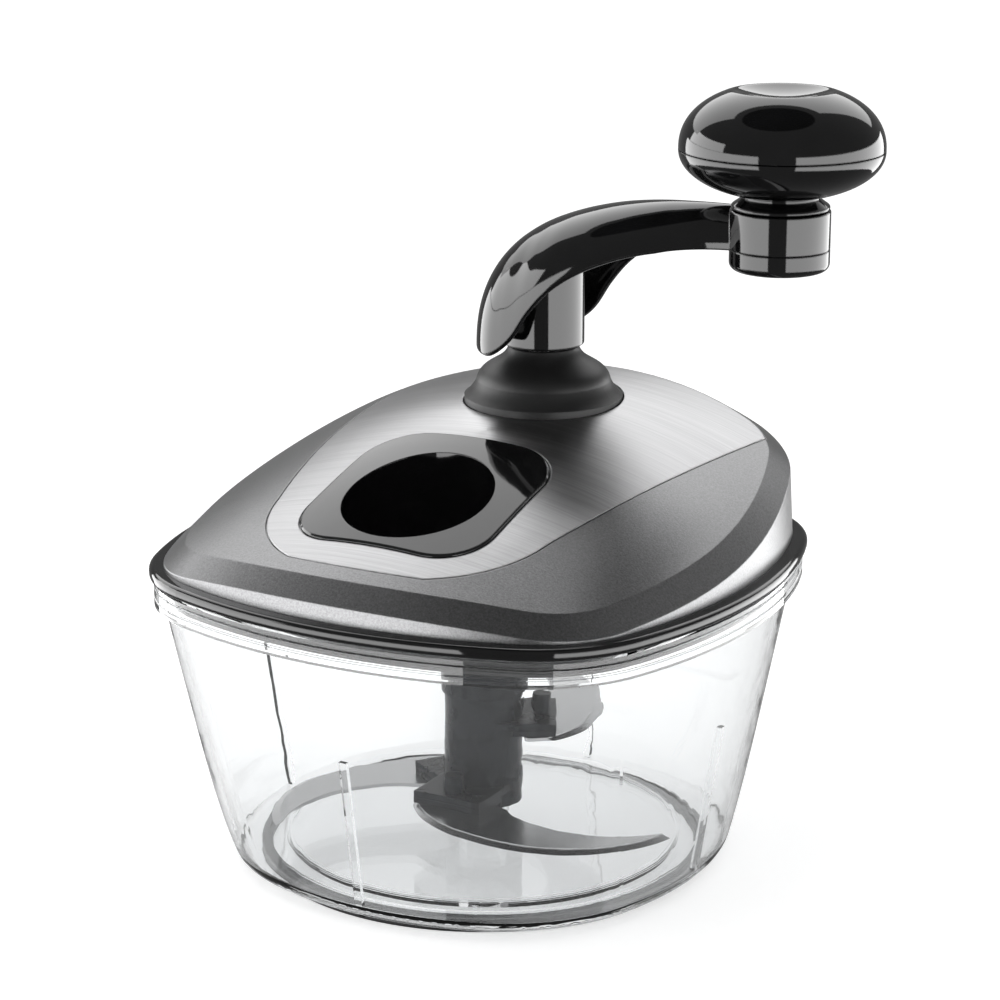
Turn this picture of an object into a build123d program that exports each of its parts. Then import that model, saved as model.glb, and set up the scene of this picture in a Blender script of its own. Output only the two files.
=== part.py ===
# Hand-cranked food chopper: a clear bowl, a lid with a gear train, and a three-bladed insert.
# Frame: +Z up, the filler side faces -Y, the origin is the centre of the foot on the bowl's axis.
from build123d import *
from math import cos, sin, tan, acos, degrees, pi, radians, sqrt
import os

os.makedirs("parts", exist_ok=True)

# ---------------------------------------------------------------- driving dimensions (mm)
# bowl
BASE_HALF = 78.6            # the wall is nearly round at the bottom ...
BASE_SIDE_RADIUS = 100.0
MOUTH_HALF = 93.4           # ... and a rounded square at the mouth
MOUTH_SIDE_RADIUS = 170.0   # radius of the square's bulged sides
WALL = 2.4
BASE_Z = 2.6                # underside of the clear base
FLOOR_Z = 7.0
FLOOR_DISC_RADIUS = 64.0
MOAT_WIDTH = 6.5
MOAT_DEPTH = 1.6
FLOOR_BEAD = 0.9            # half width of the bead round the disc
FLANGE_Z = 91.0
FLANGE_HEIGHT = 8.5
GROOVE = 0.8                # width and depth of the two lines round the flange
FLANGE_SETBACK = 1.4        # the flange stands this far inside the lid's rim
BASE_ROUND = 5.2
RIB_TOP_Z = 57.0
RIB_WIDTH = 2.6
RIB_DEPTH = 1.6
BOSS_RADIUS = 8.0
BOSS_TOP_Z = 17.0
# foot
FOOT_RADIUS = 73.0
FOOT_WIDTH = 7.0
FOOT_LUGS = 6
LUG_LENGTH = 4.0
LUG_WIDTH = 2.0
# pivot of the blade insert
PIN_RADIUS = 3.5
PIN_TOP_Z = 34.0
RUNNING = 0.08              # radial clearance of every shaft in its bearing
SLACK = 0.4                 # gap between parts that move past each other
# lid
RIM_HALF = 98.2
RIM_SIDE_RADIUS = 173.0
RIM_HEIGHT = 4.0
RIM_ROUND = 1.6
RIM_WALL = 2.4
BAND_HALF = 93.0            # foot of the lid's side wall
BAND_SIDE_RADIUS = 172.0
BAND_DRAFT = 2.6            # how far the side wall leans in over its full height
SHELL_WALL = 2.6
SHELL_TOP_Z = 150.0         # above the dome everywhere
CHAMFER_TOP = 7.5
CHAMFER_SIDE = 3.4
SEAL_HEIGHT = 2.4
SEAL_DEPTH = 1.6
PLUG_DEPTH = 6.5            # how far the lid reaches down into the mouth
PLUG_GAP = 1.2              # between the plug and the mouth's wall, bridged by the seal
# the dome: crown height and crossways radius at each station along Y
DOME = (
    (-112.0, 105.0, 300.0),
    (-62.0, 123.6, 215.0),
    (-12.0, 138.4, 178.0),
    (40.0, 145.8, 180.0),
    (112.0, 144.2, 200.0),
)
DOME_HALF = 108.0
DOME_FLOOR_Z = 60.0         # the block under the dome reaches down to here
# steel cover on the dome
COVER_THICKNESS = 0.8
COVER_GAP = 0.5
COVER_NOSE_Y = -79.3
COVER_NOSE_HALF = 24.0
COVER_NOSE_BOW = 2.1
COVER_BEND = (41.6, -62.8)  # where the nose turns into the side
COVER_SIDE = (48.8, -45.0)
COVER_WAIST = (61.7, 12.0)
COVER_BACK = (71.5, 95.0)
# filler
COLLAR_CENTRE_Y = -36.2
COLLAR_LENGTH = 64.0
COLLAR_WIDTH = 67.0
COLLAR_CORNER = 17.0
COLLAR_RISE = 0.7
COLLAR_THICKNESS = 3.0
CUP_CENTRE_Y = -40.5
CUP_RADIUS = 24.0
CUP_WALL = 1.8
CUP_FLOOR_Z = 106.0
SPOUT_RADIUS = 9.0
# gear train
GEAR_MODULE = 1.25
CRANK_TEETH = 48
PINION_TEETH = 16
GEAR_WIDTH = 7.0
GEAR_Z = 102.5
BACKLASH = 0.34
PRESSURE_ANGLE = 20.0
SHAFT_RADIUS = 5.0
BUSH_WALL = 2.4
HEX_FLATS = 12.0            # output dog across flats
DOG_BOTTOM_Z = 77.0
# bearing tower over the crank shaft
TOWER_HOLE_RADIUS = 26.7
TOWER_RADIUS = 26.2
TOWER_CREASE_RADIUS = 22.2
TOWER_CREASE_Z = 150.6      # the flared skirt meets the bell in a crease
TOWER_SKIRT_Z = 145.4
TOWER_NECK_RADIUS = 11.6
TOWER_TOP_Z = 161.9
# crank
SLEEVE_RADIUS = 13.4
SLEEVE_BOTTOM_Z = 162.6
CRANK_LENGTH = 84.0
ARM_HALF_WIDTH = 30.0
ARM_REAR = 18.8             # how far the hood reaches behind the crank axis
ARM_WALL = 3.0
HOOD_CROWN_Z = 202.4
HOOD_SPRING_Z = 166.0
HOOD_FALL = 0.25
ARM_BEND = 17.0             # here the hood starts to narrow into the bar
ARM_BEND_Z = 209.0
ARM_SKIRT_Z = 156.0         # below the arm everywhere
ARM_ABOVE_Z = 225.0         # above the arm everywhere
SKIRT_Z = 163.4             # lowest point of the hood
EYE_RADIUS = 15.8
EYE_BOTTOM_Z = 202.6
EYE_TOP_Z = 214.7
CAP_HEIGHT = 6.9
# knob
KNOB_RADIUS = 32.2
KNOB_SEAM_Z = 233.6
KNOB_BOTTOM_Z = 219.4
KNOB_TOP_Z = 251.6
KNOB_PIN_RADIUS = 4.0
KNOB_HEAD_ROOM = 6.0        # hollow over the pin's head
SEAM_LIP = 0.5              # groove between the halves
SEAM_DEPTH = 0.8
DISH_SHARE = 0.47           # the dished top, as a share of the radius
DISH_DEPTH = 2.4
COLLAR_RING_RADIUS = 15.5
COLLAR_RING_HEIGHT = 3.4
# blade insert
TUBE_RADIUS = 12.8
TUBE_BOTTOM_Z = 17.4
TUBE_STEP_Z = 55.0
TUBE_HEAD_RADIUS = 13.8
TUBE_TOP_Z = 89.0
BRACKET_REACH = 24.0
BRACKET_WIDTH = 24.6
BRACKET_PLATE = 2.2
CLAMP_PLATE = 2.0
BLADE_THICKNESS = 1.2
BEVEL_WIDTH = 2.6
BEVEL_RISE = 0.8
BLADE_PIN_RADIUS = 3.1
BLADE_PIN_HEIGHT = 6.2
BLADE_PIN_REACH = 19.2
# direction in degrees and top height of each bracket
BRACKETS = ((-90.0, 25.0), (150.0, 24.0), (30.0, 46.8))

# ---------------------------------------------------------------- sizes that follow from them
FLANGE_HALF = RIM_HALF - FLANGE_SETBACK
FLANGE_SIDE_RADIUS = RIM_SIDE_RADIUS - FLANGE_SETBACK
SIDE_ANGLE = radians(20.0)
CRANK_PITCH = GEAR_MODULE * CRANK_TEETH / 2
PINION_PITCH = GEAR_MODULE * PINION_TEETH / 2
CRANK_Y = CRANK_PITCH + PINION_PITCH
RIM_Z = FLANGE_Z + FLANGE_HEIGHT
BAND_Z = RIM_Z + RIM_HEIGHT
PLUG_HALF = MOUTH_HALF - WALL - PLUG_GAP
PLUG_SIDE_RADIUS = MOUTH_SIDE_RADIUS - WALL - PLUG_GAP
SEAL_Z = RIM_Z - SEAL_HEIGHT - PLUG_GAP
BASE_PLATE_Z = RIM_Z - PLUG_DEPTH
PLATE_TOP_Z = BASE_PLATE_Z + RIM_WALL
BUSH_RADIUS = SHAFT_RADIUS + RUNNING
BUSH_OUTER = BUSH_RADIUS + BUSH_WALL
GEAR_TOP_Z = GEAR_Z + GEAR_WIDTH
BOSS_HEIGHT = 4.0
SCREW_RADIUS = 1.6
SCREW_HEAD_RADIUS = 3.2
SCREW_PLACES = ((-57.0, -57.0), (57.0, -57.0), (-57.0, 57.0), (57.0, 57.0))
SHELL_BOSS_RADIUS = 4.4
SCREW_HEAD_HEIGHT = 1.8
SCREW_LENGTH = 13.0
SEAL_REACH = PLUG_GAP - 0.35
UPPER_BUSH_HEIGHT = 10.0
TOWER_FLANGE_RADIUS = 34.0
TOWER_FLANGE = 3.0
TOWER_WALL = 3.0
TOWER_FOOT_Z = 134.0
GEAR_RIM_RADIUS = 25.0
GEAR_HUB_RADIUS = 9.0
GEAR_HOLE_RADIUS = 5.4
GEAR_WEB = 3.0
SHAFT_TOP_Z = 190.0
DOG_CAP = 4.0
KNOB_NECK_RADIUS = 12.2
KNOB_HEAD_Z = 236.6
KNOB_HEAD_RADIUS = 7.0
KNOB_HEAD_HEIGHT = 2.4
BLADE_PIN_SHANK = 1.6
shell_ceiling = -SHELL_WALL - CHAMFER_SIDE * 0.65


# ---------------------------------------------------------------- shared outlines and tools
def squircle(half_width, side_radius):
    """A rounded square of tangent arcs; with side_radius equal to half_width it is a circle."""
    corner = side_radius - (side_radius - half_width) / (cos(SIDE_ANGLE) - sin(SIDE_ANGLE))
    centre = (side_radius - corner) * sin(SIDE_ANGLE)
    spread = degrees(SIDE_ANGLE)
    with BuildSketch() as outline:
        with BuildLine():
            for quarter in range(4):
                side = Vector(half_width - side_radius, 0).rotate(Axis.Z, 90 * quarter)
                bend = Vector(centre, centre).rotate(Axis.Z, 90 * quarter)
                CenterArc(side, side_radius, 90 * quarter - spread, 2 * spread)
                CenterArc(bend, corner, 90 * quarter + spread, 90 - 2 * spread)
        make_face()
    return outline.sketch


def outside(point, radius):
    """Whether a point is further than radius from the bowl's axis."""
    return sqrt(point.X**2 + point.Y**2) > radius


def bowl_body(inset, bottom, top):
    """The bowl's body: nearly round at the base, a rounded square at the mouth, moved in by inset."""
    stations = 5
    with BuildPart() as body:
        for step in range(stations):
            share = step / (stations - 1)
            height = bottom + (top - bottom) * share
            rise = (height - BASE_Z) / (FLANGE_Z - BASE_Z)
            half = BASE_HALF + (MOUTH_HALF - BASE_HALF) * rise
            side = BASE_SIDE_RADIUS + (MOUTH_SIDE_RADIUS - BASE_SIDE_RADIUS) * rise**0.6
            with BuildSketch(Plane.XY.offset(height)):
                add(squircle(half - inset, side - inset))
        loft()
    return body.part


def under_dome(rise):
    """Everything below the lid's domed top, with the dome moved up by rise."""
    with BuildPart() as body:
        for along, crown, crossways in DOME:
            edge = crown + rise - crossways + sqrt(crossways**2 - DOME_HALF**2)
            with BuildSketch(Plane.XZ.offset(-along)):
                with BuildLine():
                    ThreePointArc((-DOME_HALF, edge), (0, crown + rise), (DOME_HALF, edge))
                    Polyline(
                        (DOME_HALF, edge), (DOME_HALF, DOME_FLOOR_Z), (-DOME_HALF, DOME_FLOOR_Z),
                        (-DOME_HALF, edge),
                    )
                make_face()
        loft()
    return body.part


def side_wall(inset, bottom, top):
    """The lid's side wall as a solid block that leans in towards the top."""
    with BuildPart() as body:
        for height in (bottom, top):
            lean = BAND_DRAFT * (height - BAND_Z) / (SHELL_TOP_Z - BAND_Z)
            with BuildSketch(Plane.XY.offset(height)):
                add(squircle(BAND_HALF - inset - lean, BAND_SIDE_RADIUS - inset - lean))
        loft()
    return body.part


def cover_outline(inset):
    """Plan of the steel cover: a shield with a rounded nose and sides that spread to the back."""
    nose_y = COVER_NOSE_Y + inset
    nose = (COVER_NOSE_HALF, nose_y + COVER_NOSE_BOW)
    lean = inset * 0.7
    bend = (COVER_BEND[0] - lean, COVER_BEND[1] + lean)
    side = (COVER_SIDE[0] - inset, COVER_SIDE[1])
    waist = (COVER_WAIST[0] - inset, COVER_WAIST[1])
    back = (COVER_BACK[0] - inset, COVER_BACK[1])
    with BuildSketch() as plan:
        with BuildLine() as right:
            ThreePointArc((0, nose_y), (nose[0] / 2, nose_y + COVER_NOSE_BOW / 4), nose)
            ThreePointArc(nose, bend, side)
            ThreePointArc(side, waist, back)
            Line(back, (0, back[1]))
            mirror(right.line, about=Plane.YZ)
        make_face()
        add(squircle(BAND_HALF - BAND_DRAFT - CHAMFER_TOP - inset, BAND_SIDE_RADIUS), mode=Mode.INTERSECT)
    return plan.sketch


def collar_outline(inset):
    """Plan of the filler's collar: a rounded square."""
    with BuildSketch() as plan:
        with Locations((0, COLLAR_CENTRE_Y)):
            RectangleRounded(
                COLLAR_WIDTH - 2 * inset, COLLAR_LENGTH - 2 * inset, COLLAR_CORNER - inset
            )
    return plan.sketch


def gear_outline(teeth, turn):
    """Involute spur gear, thinned by the backlash; turn is the first tooth's direction."""
    pitch = GEAR_MODULE * teeth / 2
    base = pitch * cos(radians(PRESSURE_ANGLE))
    tip = pitch + 0.9 * GEAR_MODULE
    root = pitch - 1.2 * GEAR_MODULE
    involute_at_pitch = tan(radians(PRESSURE_ANGLE)) - radians(PRESSURE_ANGLE)
    half_tooth = pi / (2 * teeth) - BACKLASH / (4 * pitch) + involute_at_pitch

    def flank(radius):
        spread = acos(min(1.0, base / max(radius, base)))
        return degrees(half_tooth - (tan(spread) - spread))

    start = max(base, root)
    with BuildSketch() as outline:
        Circle(root + 0.05)
        with BuildSketch(mode=Mode.PRIVATE) as tooth:
            with BuildLine():
                radii = [root - 0.3, start, (start + pitch) / 2, pitch, tip]
                right = [Vector(r, 0).rotate(Axis.Z, -flank(r)) for r in radii]
                left = [Vector(r, 0).rotate(Axis.Z, flank(r)) for r in reversed(radii)]
                Polyline(*right, *left, close=True)
            make_face()
        with PolarLocations(0, teeth, start_angle=turn):
            add(tooth.sketch)
    return outline.sketch


# ---------------------------------------------------------------- bowl, foot and pivot pin
with BuildPart() as bowl:
    add(bowl_body(0, BASE_Z, FLANGE_Z))
    fillet(bowl.faces().sort_by(Axis.Z)[0].edges(), BASE_ROUND)
    with BuildSketch(Plane.XY.offset(FLANGE_Z)):
        add(squircle(FLANGE_HALF, FLANGE_SIDE_RADIUS))
    extrude(amount=FLANGE_HEIGHT)
    outer_lip = bowl.faces().sort_by(Axis.Z)[-1].edges()
    chamfer(outer_lip, 0.8)
    # two shallow grooves run round the flange
    for share in (0.28, 0.66):
        with BuildSketch(Plane.XY.offset(FLANGE_Z + FLANGE_HEIGHT * share)):
            add(squircle(FLANGE_HALF + 1, FLANGE_SIDE_RADIUS + 1))
            add(squircle(FLANGE_HALF - GROOVE, FLANGE_SIDE_RADIUS - GROOVE), mode=Mode.SUBTRACT)
        extrude(amount=GROOVE, mode=Mode.SUBTRACT)
    add(bowl_body(WALL, FLOOR_Z, FLANGE_Z), mode=Mode.SUBTRACT)
    with BuildSketch(Plane.XY.offset(FLANGE_Z)):
        add(squircle(MOUTH_HALF - WALL, MOUTH_SIDE_RADIUS - WALL))
    extrude(amount=FLANGE_HEIGHT, mode=Mode.SUBTRACT)
    # mixing ribs stand on the wall at the middle of each side
    with BuildPart(mode=Mode.PRIVATE) as ribs:
        with BuildSketch(Plane.XY.offset(FLOOR_Z - WALL / 2)):
            with PolarLocations(BASE_HALF, 4):
                Rectangle(BASE_HALF / 2, RIB_WIDTH)
        extrude(amount=RIB_TOP_Z - FLOOR_Z + WALL / 2)
        add(bowl_body(WALL / 2, BASE_Z, FLANGE_Z), mode=Mode.INTERSECT)
        add(bowl_body(WALL + RIB_DEPTH, BASE_Z, FLANGE_Z), mode=Mode.SUBTRACT)
    add(ribs.part)
    # the floor steps down inside the disc, and a moat lies round it
    with BuildSketch(Plane.XY.offset(FLOOR_Z)):
        Circle(FLOOR_DISC_RADIUS + MOAT_WIDTH)
        Circle(FLOOR_DISC_RADIUS, mode=Mode.SUBTRACT)
    extrude(amount=-MOAT_DEPTH, mode=Mode.SUBTRACT)
    with BuildSketch(Plane.XY.offset(FLOOR_Z)):
        Circle(FLOOR_DISC_RADIUS + FLOOR_BEAD)
        Circle(FLOOR_DISC_RADIUS - FLOOR_BEAD, mode=Mode.SUBTRACT)
    extrude(amount=FLOOR_BEAD)
    # lugs under the rounded edge, between the wall and the foot
    with BuildSketch(Plane.XY.offset(BASE_Z)):
        with PolarLocations(FOOT_RADIUS + LUG_LENGTH / 3, FOOT_LUGS, start_angle=-90):
            Rectangle(LUG_LENGTH, LUG_WIDTH)
    extrude(amount=LUG_LENGTH)
    # centre boss for the pivot pin
    with Locations((0, 0, BASE_Z)):
        Cylinder(BOSS_RADIUS, BOSS_TOP_Z - BASE_Z, align=(Align.CENTER, Align.CENTER, Align.MIN))
    with Locations((0, 0, FLOOR_Z)):
        Cylinder(
            PIN_RADIUS, BOSS_TOP_Z, align=(Align.CENTER, Align.CENTER, Align.MIN), mode=Mode.SUBTRACT
        )
bowl.part.label = "bowl"
export_step(bowl.part, "parts/bowl.step")

with BuildPart() as foot_ring:
    with BuildSketch():
        Circle(FOOT_RADIUS)
        Circle(FOOT_RADIUS - FOOT_WIDTH, mode=Mode.SUBTRACT)
    extrude(amount=BASE_Z)
    fillet(foot_ring.faces().sort_by(Axis.Z)[0].edges(), 0.8)
foot_ring.part.label = "foot_ring"
export_step(foot_ring.part, "parts/foot_ring.step")

with BuildPart() as pivot_pin:
    with Locations((0, 0, FLOOR_Z)):
        Cylinder(PIN_RADIUS, PIN_TOP_Z - FLOOR_Z, align=(Align.CENTER, Align.CENTER, Align.MIN))
    fillet(pivot_pin.faces().sort_by(Axis.Z)[-1].edges(), PIN_RADIUS * 0.6)
pivot_pin.part.label = "pivot_pin"
export_step(pivot_pin.part, "parts/pivot_pin.step")

# ---------------------------------------------------------------- lid: base, seal, shell, cover
cup_outer = CUP_RADIUS + CUP_WALL
spout_outer = SPOUT_RADIUS + CUP_WALL

with BuildPart() as lid_base:
    # rim ledge
    with BuildSketch(Plane.XY.offset(RIM_Z)):
        add(squircle(RIM_HALF, RIM_SIDE_RADIUS))
        add(squircle(PLUG_HALF - RIM_WALL, PLUG_SIDE_RADIUS - RIM_WALL), mode=Mode.SUBTRACT)
    extrude(amount=RIM_HEIGHT)
    outer_faces = lid_base.faces().filter_by(lambda face: face.center().Z < BAND_Z - 0.1)
    outer_faces = outer_faces.filter_by(lambda face: abs(face.center().Z - RIM_Z) > 0.1)
    outer_faces = outer_faces.filter_by(lambda face: outside(face.center(), MOUTH_HALF))
    fillet(outer_faces.edges().filter_by(Axis.Z, reverse=True), RIM_ROUND)
    # plug that reaches down into the bowl's mouth, closed by a floor plate
    with BuildSketch(Plane.XY.offset(BASE_PLATE_Z)):
        add(squircle(PLUG_HALF, PLUG_SIDE_RADIUS))
        add(squircle(PLUG_HALF - RIM_WALL, PLUG_SIDE_RADIUS - RIM_WALL), mode=Mode.SUBTRACT)
    extrude(amount=PLUG_DEPTH)
    with BuildSketch(Plane.XY.offset(BASE_PLATE_Z)):
        add(squircle(PLUG_HALF - 1, PLUG_SIDE_RADIUS - 1))
    extrude(amount=RIM_WALL)
    # groove for the seal
    with BuildSketch(Plane.XY.offset(SEAL_Z)):
        add(squircle(PLUG_HALF + 1, PLUG_SIDE_RADIUS + 1))
        add(squircle(PLUG_HALF - SEAL_DEPTH / 2, PLUG_SIDE_RADIUS - SEAL_DEPTH / 2), mode=Mode.SUBTRACT)
    extrude(amount=SEAL_HEIGHT, mode=Mode.SUBTRACT)
    # bosses: crank journal, output bush and four screws
    with BuildSketch(Plane.XY.offset(PLATE_TOP_Z)):
        with Locations((0, CRANK_Y)):
            Circle(BUSH_OUTER + 1.6)
        Circle(BUSH_OUTER + 1.6)
        with Locations(*SCREW_PLACES):
            Circle(SHELL_BOSS_RADIUS)
    extrude(amount=BOSS_HEIGHT)
    with BuildSketch(Plane.XY.offset(BASE_PLATE_Z)):
        Circle(BUSH_OUTER)
        with Locations((0, CUP_CENTRE_Y)):
            Circle(spout_outer)
        with Locations(*SCREW_PLACES):
            Circle(SCREW_RADIUS)
    extrude(amount=PLUG_DEPTH, mode=Mode.SUBTRACT)
    with BuildSketch(Plane.XY.offset(PLATE_TOP_Z)):
        with Locations((0, CRANK_Y)):
            Circle(BUSH_OUTER)
    extrude(amount=BOSS_HEIGHT, mode=Mode.SUBTRACT)
lid_base.part.label = "lid_base"
export_step(lid_base.part, "parts/lid_base.step")

with BuildPart() as top_shell:
    add(side_wall(0, BAND_Z, SHELL_TOP_Z))
    add(under_dome(0), mode=Mode.INTERSECT)
    dome_face = top_shell.faces().sort_by(Axis.Z)[-1]
    chamfer(dome_face.edges(), CHAMFER_TOP, CHAMFER_SIDE, reference=dome_face)
    # hollow inside
    with BuildPart(mode=Mode.PRIVATE) as hollow:
        add(side_wall(SHELL_WALL, BAND_Z, SHELL_TOP_Z))
        add(under_dome(shell_ceiling), mode=Mode.INTERSECT)
    add(hollow.part, mode=Mode.SUBTRACT)
    # screw bosses hang from the dome to meet the bosses of the base
    with BuildPart(mode=Mode.PRIVATE) as bosses:
        with BuildSketch(Plane.XY.offset(PLATE_TOP_Z + BOSS_HEIGHT)):
            with Locations(*SCREW_PLACES):
                Circle(SHELL_BOSS_RADIUS)
        extrude(amount=SHELL_TOP_Z - PLATE_TOP_Z - BOSS_HEIGHT)
        add(under_dome(-SHELL_WALL), mode=Mode.INTERSECT)
    add(bosses.part)
    with BuildSketch(Plane.XY.offset(PLATE_TOP_Z + BOSS_HEIGHT)):
        with Locations(*SCREW_PLACES):
            Circle(SCREW_RADIUS)
    extrude(amount=9, mode=Mode.SUBTRACT)
    # recess for the steel cover
    with BuildPart(mode=Mode.PRIVATE) as recess:
        with BuildSketch(Plane.XY.offset(BAND_Z)):
            add(cover_outline(-COVER_GAP))
        extrude(amount=SHELL_TOP_Z - BAND_Z + 20)
        add(under_dome(-COVER_THICKNESS), mode=Mode.SUBTRACT)
    add(recess.part, mode=Mode.SUBTRACT)
    # hole for the filler's collar and cup, hole for the bearing tower
    with BuildSketch(Plane.XY.offset(BAND_Z)):
        with Locations((0, CUP_CENTRE_Y)):
            Circle(cup_outer + SLACK)
        with Locations((0, CRANK_Y)):
            Circle(TOWER_HOLE_RADIUS)
    extrude(amount=SHELL_TOP_Z - BAND_Z + 20, mode=Mode.SUBTRACT)
top_shell.part.label = "top_shell"
export_step(top_shell.part, "parts/top_shell.step")

with BuildPart() as steel_cover:
    with BuildSketch(Plane.XY.offset(BAND_Z)):
        add(cover_outline(0))
        add(collar_outline(-COVER_GAP), mode=Mode.SUBTRACT)
        with Locations((0, CRANK_Y)):
            Circle(TOWER_HOLE_RADIUS, mode=Mode.SUBTRACT)
    extrude(amount=SHELL_TOP_Z - BAND_Z + 20)
    add(under_dome(0), mode=Mode.INTERSECT)
    add(under_dome(-COVER_THICKNESS), mode=Mode.SUBTRACT)
steel_cover.part.label = "steel_cover"
export_step(steel_cover.part, "parts/steel_cover.step")

with BuildPart() as filler_cup:
    # collar plate that follows the dome and stands a little proud of the cover
    with BuildSketch(Plane.XY.offset(BAND_Z)):
        add(collar_outline(0))
    extrude(amount=SHELL_TOP_Z - BAND_Z + 20)
    add(under_dome(COLLAR_RISE), mode=Mode.INTERSECT)
    add(under_dome(-COVER_THICKNESS), mode=Mode.SUBTRACT)
    # cup, cone and spout below it
    with BuildPart(mode=Mode.PRIVATE) as cup_body:
        with Locations((0, CUP_CENTRE_Y, CUP_FLOOR_Z)):
            Cylinder(cup_outer, SHELL_TOP_Z - CUP_FLOOR_Z, align=(Align.CENTER, Align.CENTER, Align.MIN))
        add(under_dome(-COVER_THICKNESS / 2), mode=Mode.INTERSECT)
        with BuildSketch(Plane.XZ.offset(-CUP_CENTRE_Y)):
            with BuildLine():
                Polyline(
                    (0, CUP_FLOOR_Z), (cup_outer, CUP_FLOOR_Z), (spout_outer - SLACK, PLATE_TOP_Z + 1.2),
                    (spout_outer - SLACK, BASE_PLATE_Z), (0, BASE_PLATE_Z), close=True,
                )
            make_face()
        revolve(axis=Axis((0, CUP_CENTRE_Y, 0), (0, 0, 1)))
    add(cup_body.part)
    with BuildSketch(Plane.XZ.offset(-CUP_CENTRE_Y)):
        with BuildLine():
            Polyline(
                (0, SHELL_TOP_Z + 10), (CUP_RADIUS, SHELL_TOP_Z + 10), (CUP_RADIUS, CUP_FLOOR_Z + 1),
                (SPOUT_RADIUS, PLATE_TOP_Z + 2), (SPOUT_RADIUS, BASE_PLATE_Z - 1),
                (0, BASE_PLATE_Z - 1), close=True,
            )
        make_face()
    revolve(axis=Axis((0, CUP_CENTRE_Y, 0), (0, 0, 1)), mode=Mode.SUBTRACT)
    mouth = filler_cup.faces().sort_by(Axis.Z)[-1]
    chamfer(mouth.edges(), 0.5)
filler_cup.part.label = "filler_cup"
export_step(filler_cup.part, "parts/filler_cup.step")

with BuildPart() as rim_seal:
    with BuildSketch(Plane.XY.offset(SEAL_Z)):
        add(squircle(PLUG_HALF + SEAL_REACH, PLUG_SIDE_RADIUS + SEAL_REACH))
        add(squircle(PLUG_HALF - SEAL_DEPTH / 2, PLUG_SIDE_RADIUS - SEAL_DEPTH / 2), mode=Mode.SUBTRACT)
    extrude(amount=SEAL_HEIGHT)
rim_seal.part.label = "rim_seal"
export_step(rim_seal.part, "parts/rim_seal.step")

with BuildPart() as lid_screws:
    with Locations(*[(x, y, BASE_PLATE_Z) for x, y in SCREW_PLACES]):
        Cylinder(SCREW_HEAD_RADIUS, SCREW_HEAD_HEIGHT, align=(Align.CENTER, Align.CENTER, Align.MAX))
        Cylinder(SCREW_RADIUS, SCREW_LENGTH, align=(Align.CENTER, Align.CENTER, Align.MIN))
lid_screws.part.label = "lid_screws"
export_step(lid_screws.part, "parts/lid_screws.step")


# ---------------------------------------------------------------- bearings
def bush(name, place, bottom, height):
    """A plain bearing bush for a crank-train shaft."""
    with BuildPart() as ring:
        with BuildSketch(Plane.XY.offset(bottom)):
            with Locations(place):
                Circle(BUSH_OUTER)
                Circle(BUSH_RADIUS, mode=Mode.SUBTRACT)
        extrude(amount=height)
    ring.part.label = name
    export_step(ring.part, f"parts/{name}.step")
    return ring.part


crank_lower_bush = bush("crank_lower_bush", (0, CRANK_Y), PLATE_TOP_Z, BOSS_HEIGHT)
output_bush = bush("output_bush", (0, 0), BASE_PLATE_Z, RIM_WALL + BOSS_HEIGHT)
crank_upper_bush = bush("crank_upper_bush", (0, CRANK_Y), TOWER_TOP_Z - UPPER_BUSH_HEIGHT, UPPER_BUSH_HEIGHT)

# tower: flange under the dome, a round shoulder in the cover's hole, a hollow cone and a neck
tower_inner = TOWER_RADIUS - TOWER_WALL
skirt_middle = (
    TOWER_CREASE_RADIUS + (TOWER_RADIUS - TOWER_CREASE_RADIUS) * 0.4,
    TOWER_SKIRT_Z + (TOWER_CREASE_Z - TOWER_SKIRT_Z) * 0.45,
)
bell_height = TOWER_TOP_Z - TOWER_CREASE_Z
bell_reach = TOWER_CREASE_RADIUS - TOWER_NECK_RADIUS
bell_shoulder = (TOWER_NECK_RADIUS + bell_reach * 0.74, TOWER_CREASE_Z + bell_height * 0.38)
bell_waist = (TOWER_NECK_RADIUS + bell_reach * 0.24, TOWER_CREASE_Z + bell_height * 0.68)
with BuildPart() as bearing_tower:
    with Locations((0, CRANK_Y, BAND_Z)):
        Cylinder(
            TOWER_FLANGE_RADIUS, SHELL_TOP_Z - BAND_Z, align=(Align.CENTER, Align.CENTER, Align.MIN)
        )
    add(under_dome(shell_ceiling), mode=Mode.INTERSECT)
    add(under_dome(shell_ceiling - TOWER_FLANGE), mode=Mode.SUBTRACT)
    with Locations((0, CRANK_Y, BAND_Z)):
        Cylinder(
            tower_inner + TOWER_WALL / 2, SHELL_TOP_Z - BAND_Z,
            align=(Align.CENTER, Align.CENTER, Align.MIN), mode=Mode.SUBTRACT,
        )
    with BuildSketch(Plane(origin=(0, CRANK_Y, 0), x_dir=(1, 0, 0), z_dir=(0, -1, 0))):
        with BuildLine():
            Line((TOWER_RADIUS, TOWER_FOOT_Z), (TOWER_RADIUS, TOWER_SKIRT_Z))
            ThreePointArc((TOWER_RADIUS, TOWER_SKIRT_Z), skirt_middle, (TOWER_CREASE_RADIUS, TOWER_CREASE_Z))
            Spline(
                (TOWER_CREASE_RADIUS, TOWER_CREASE_Z), bell_shoulder, bell_waist,
                (TOWER_NECK_RADIUS, TOWER_TOP_Z), tangents=((-0.2, 1), (-0.3, 1)),
            )
            Polyline(
                (TOWER_NECK_RADIUS, TOWER_TOP_Z),
                (BUSH_OUTER, TOWER_TOP_Z), (BUSH_OUTER, TOWER_TOP_Z - UPPER_BUSH_HEIGHT),
                (TOWER_CREASE_RADIUS - TOWER_WALL, TOWER_CREASE_Z - 4), (tower_inner, TOWER_FOOT_Z),
                (TOWER_RADIUS, TOWER_FOOT_Z),
            )
        make_face()
    revolve(axis=Axis((0, CRANK_Y, 0), (0, 0, 1)))
bearing_tower.part.label = "bearing_tower"
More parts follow.
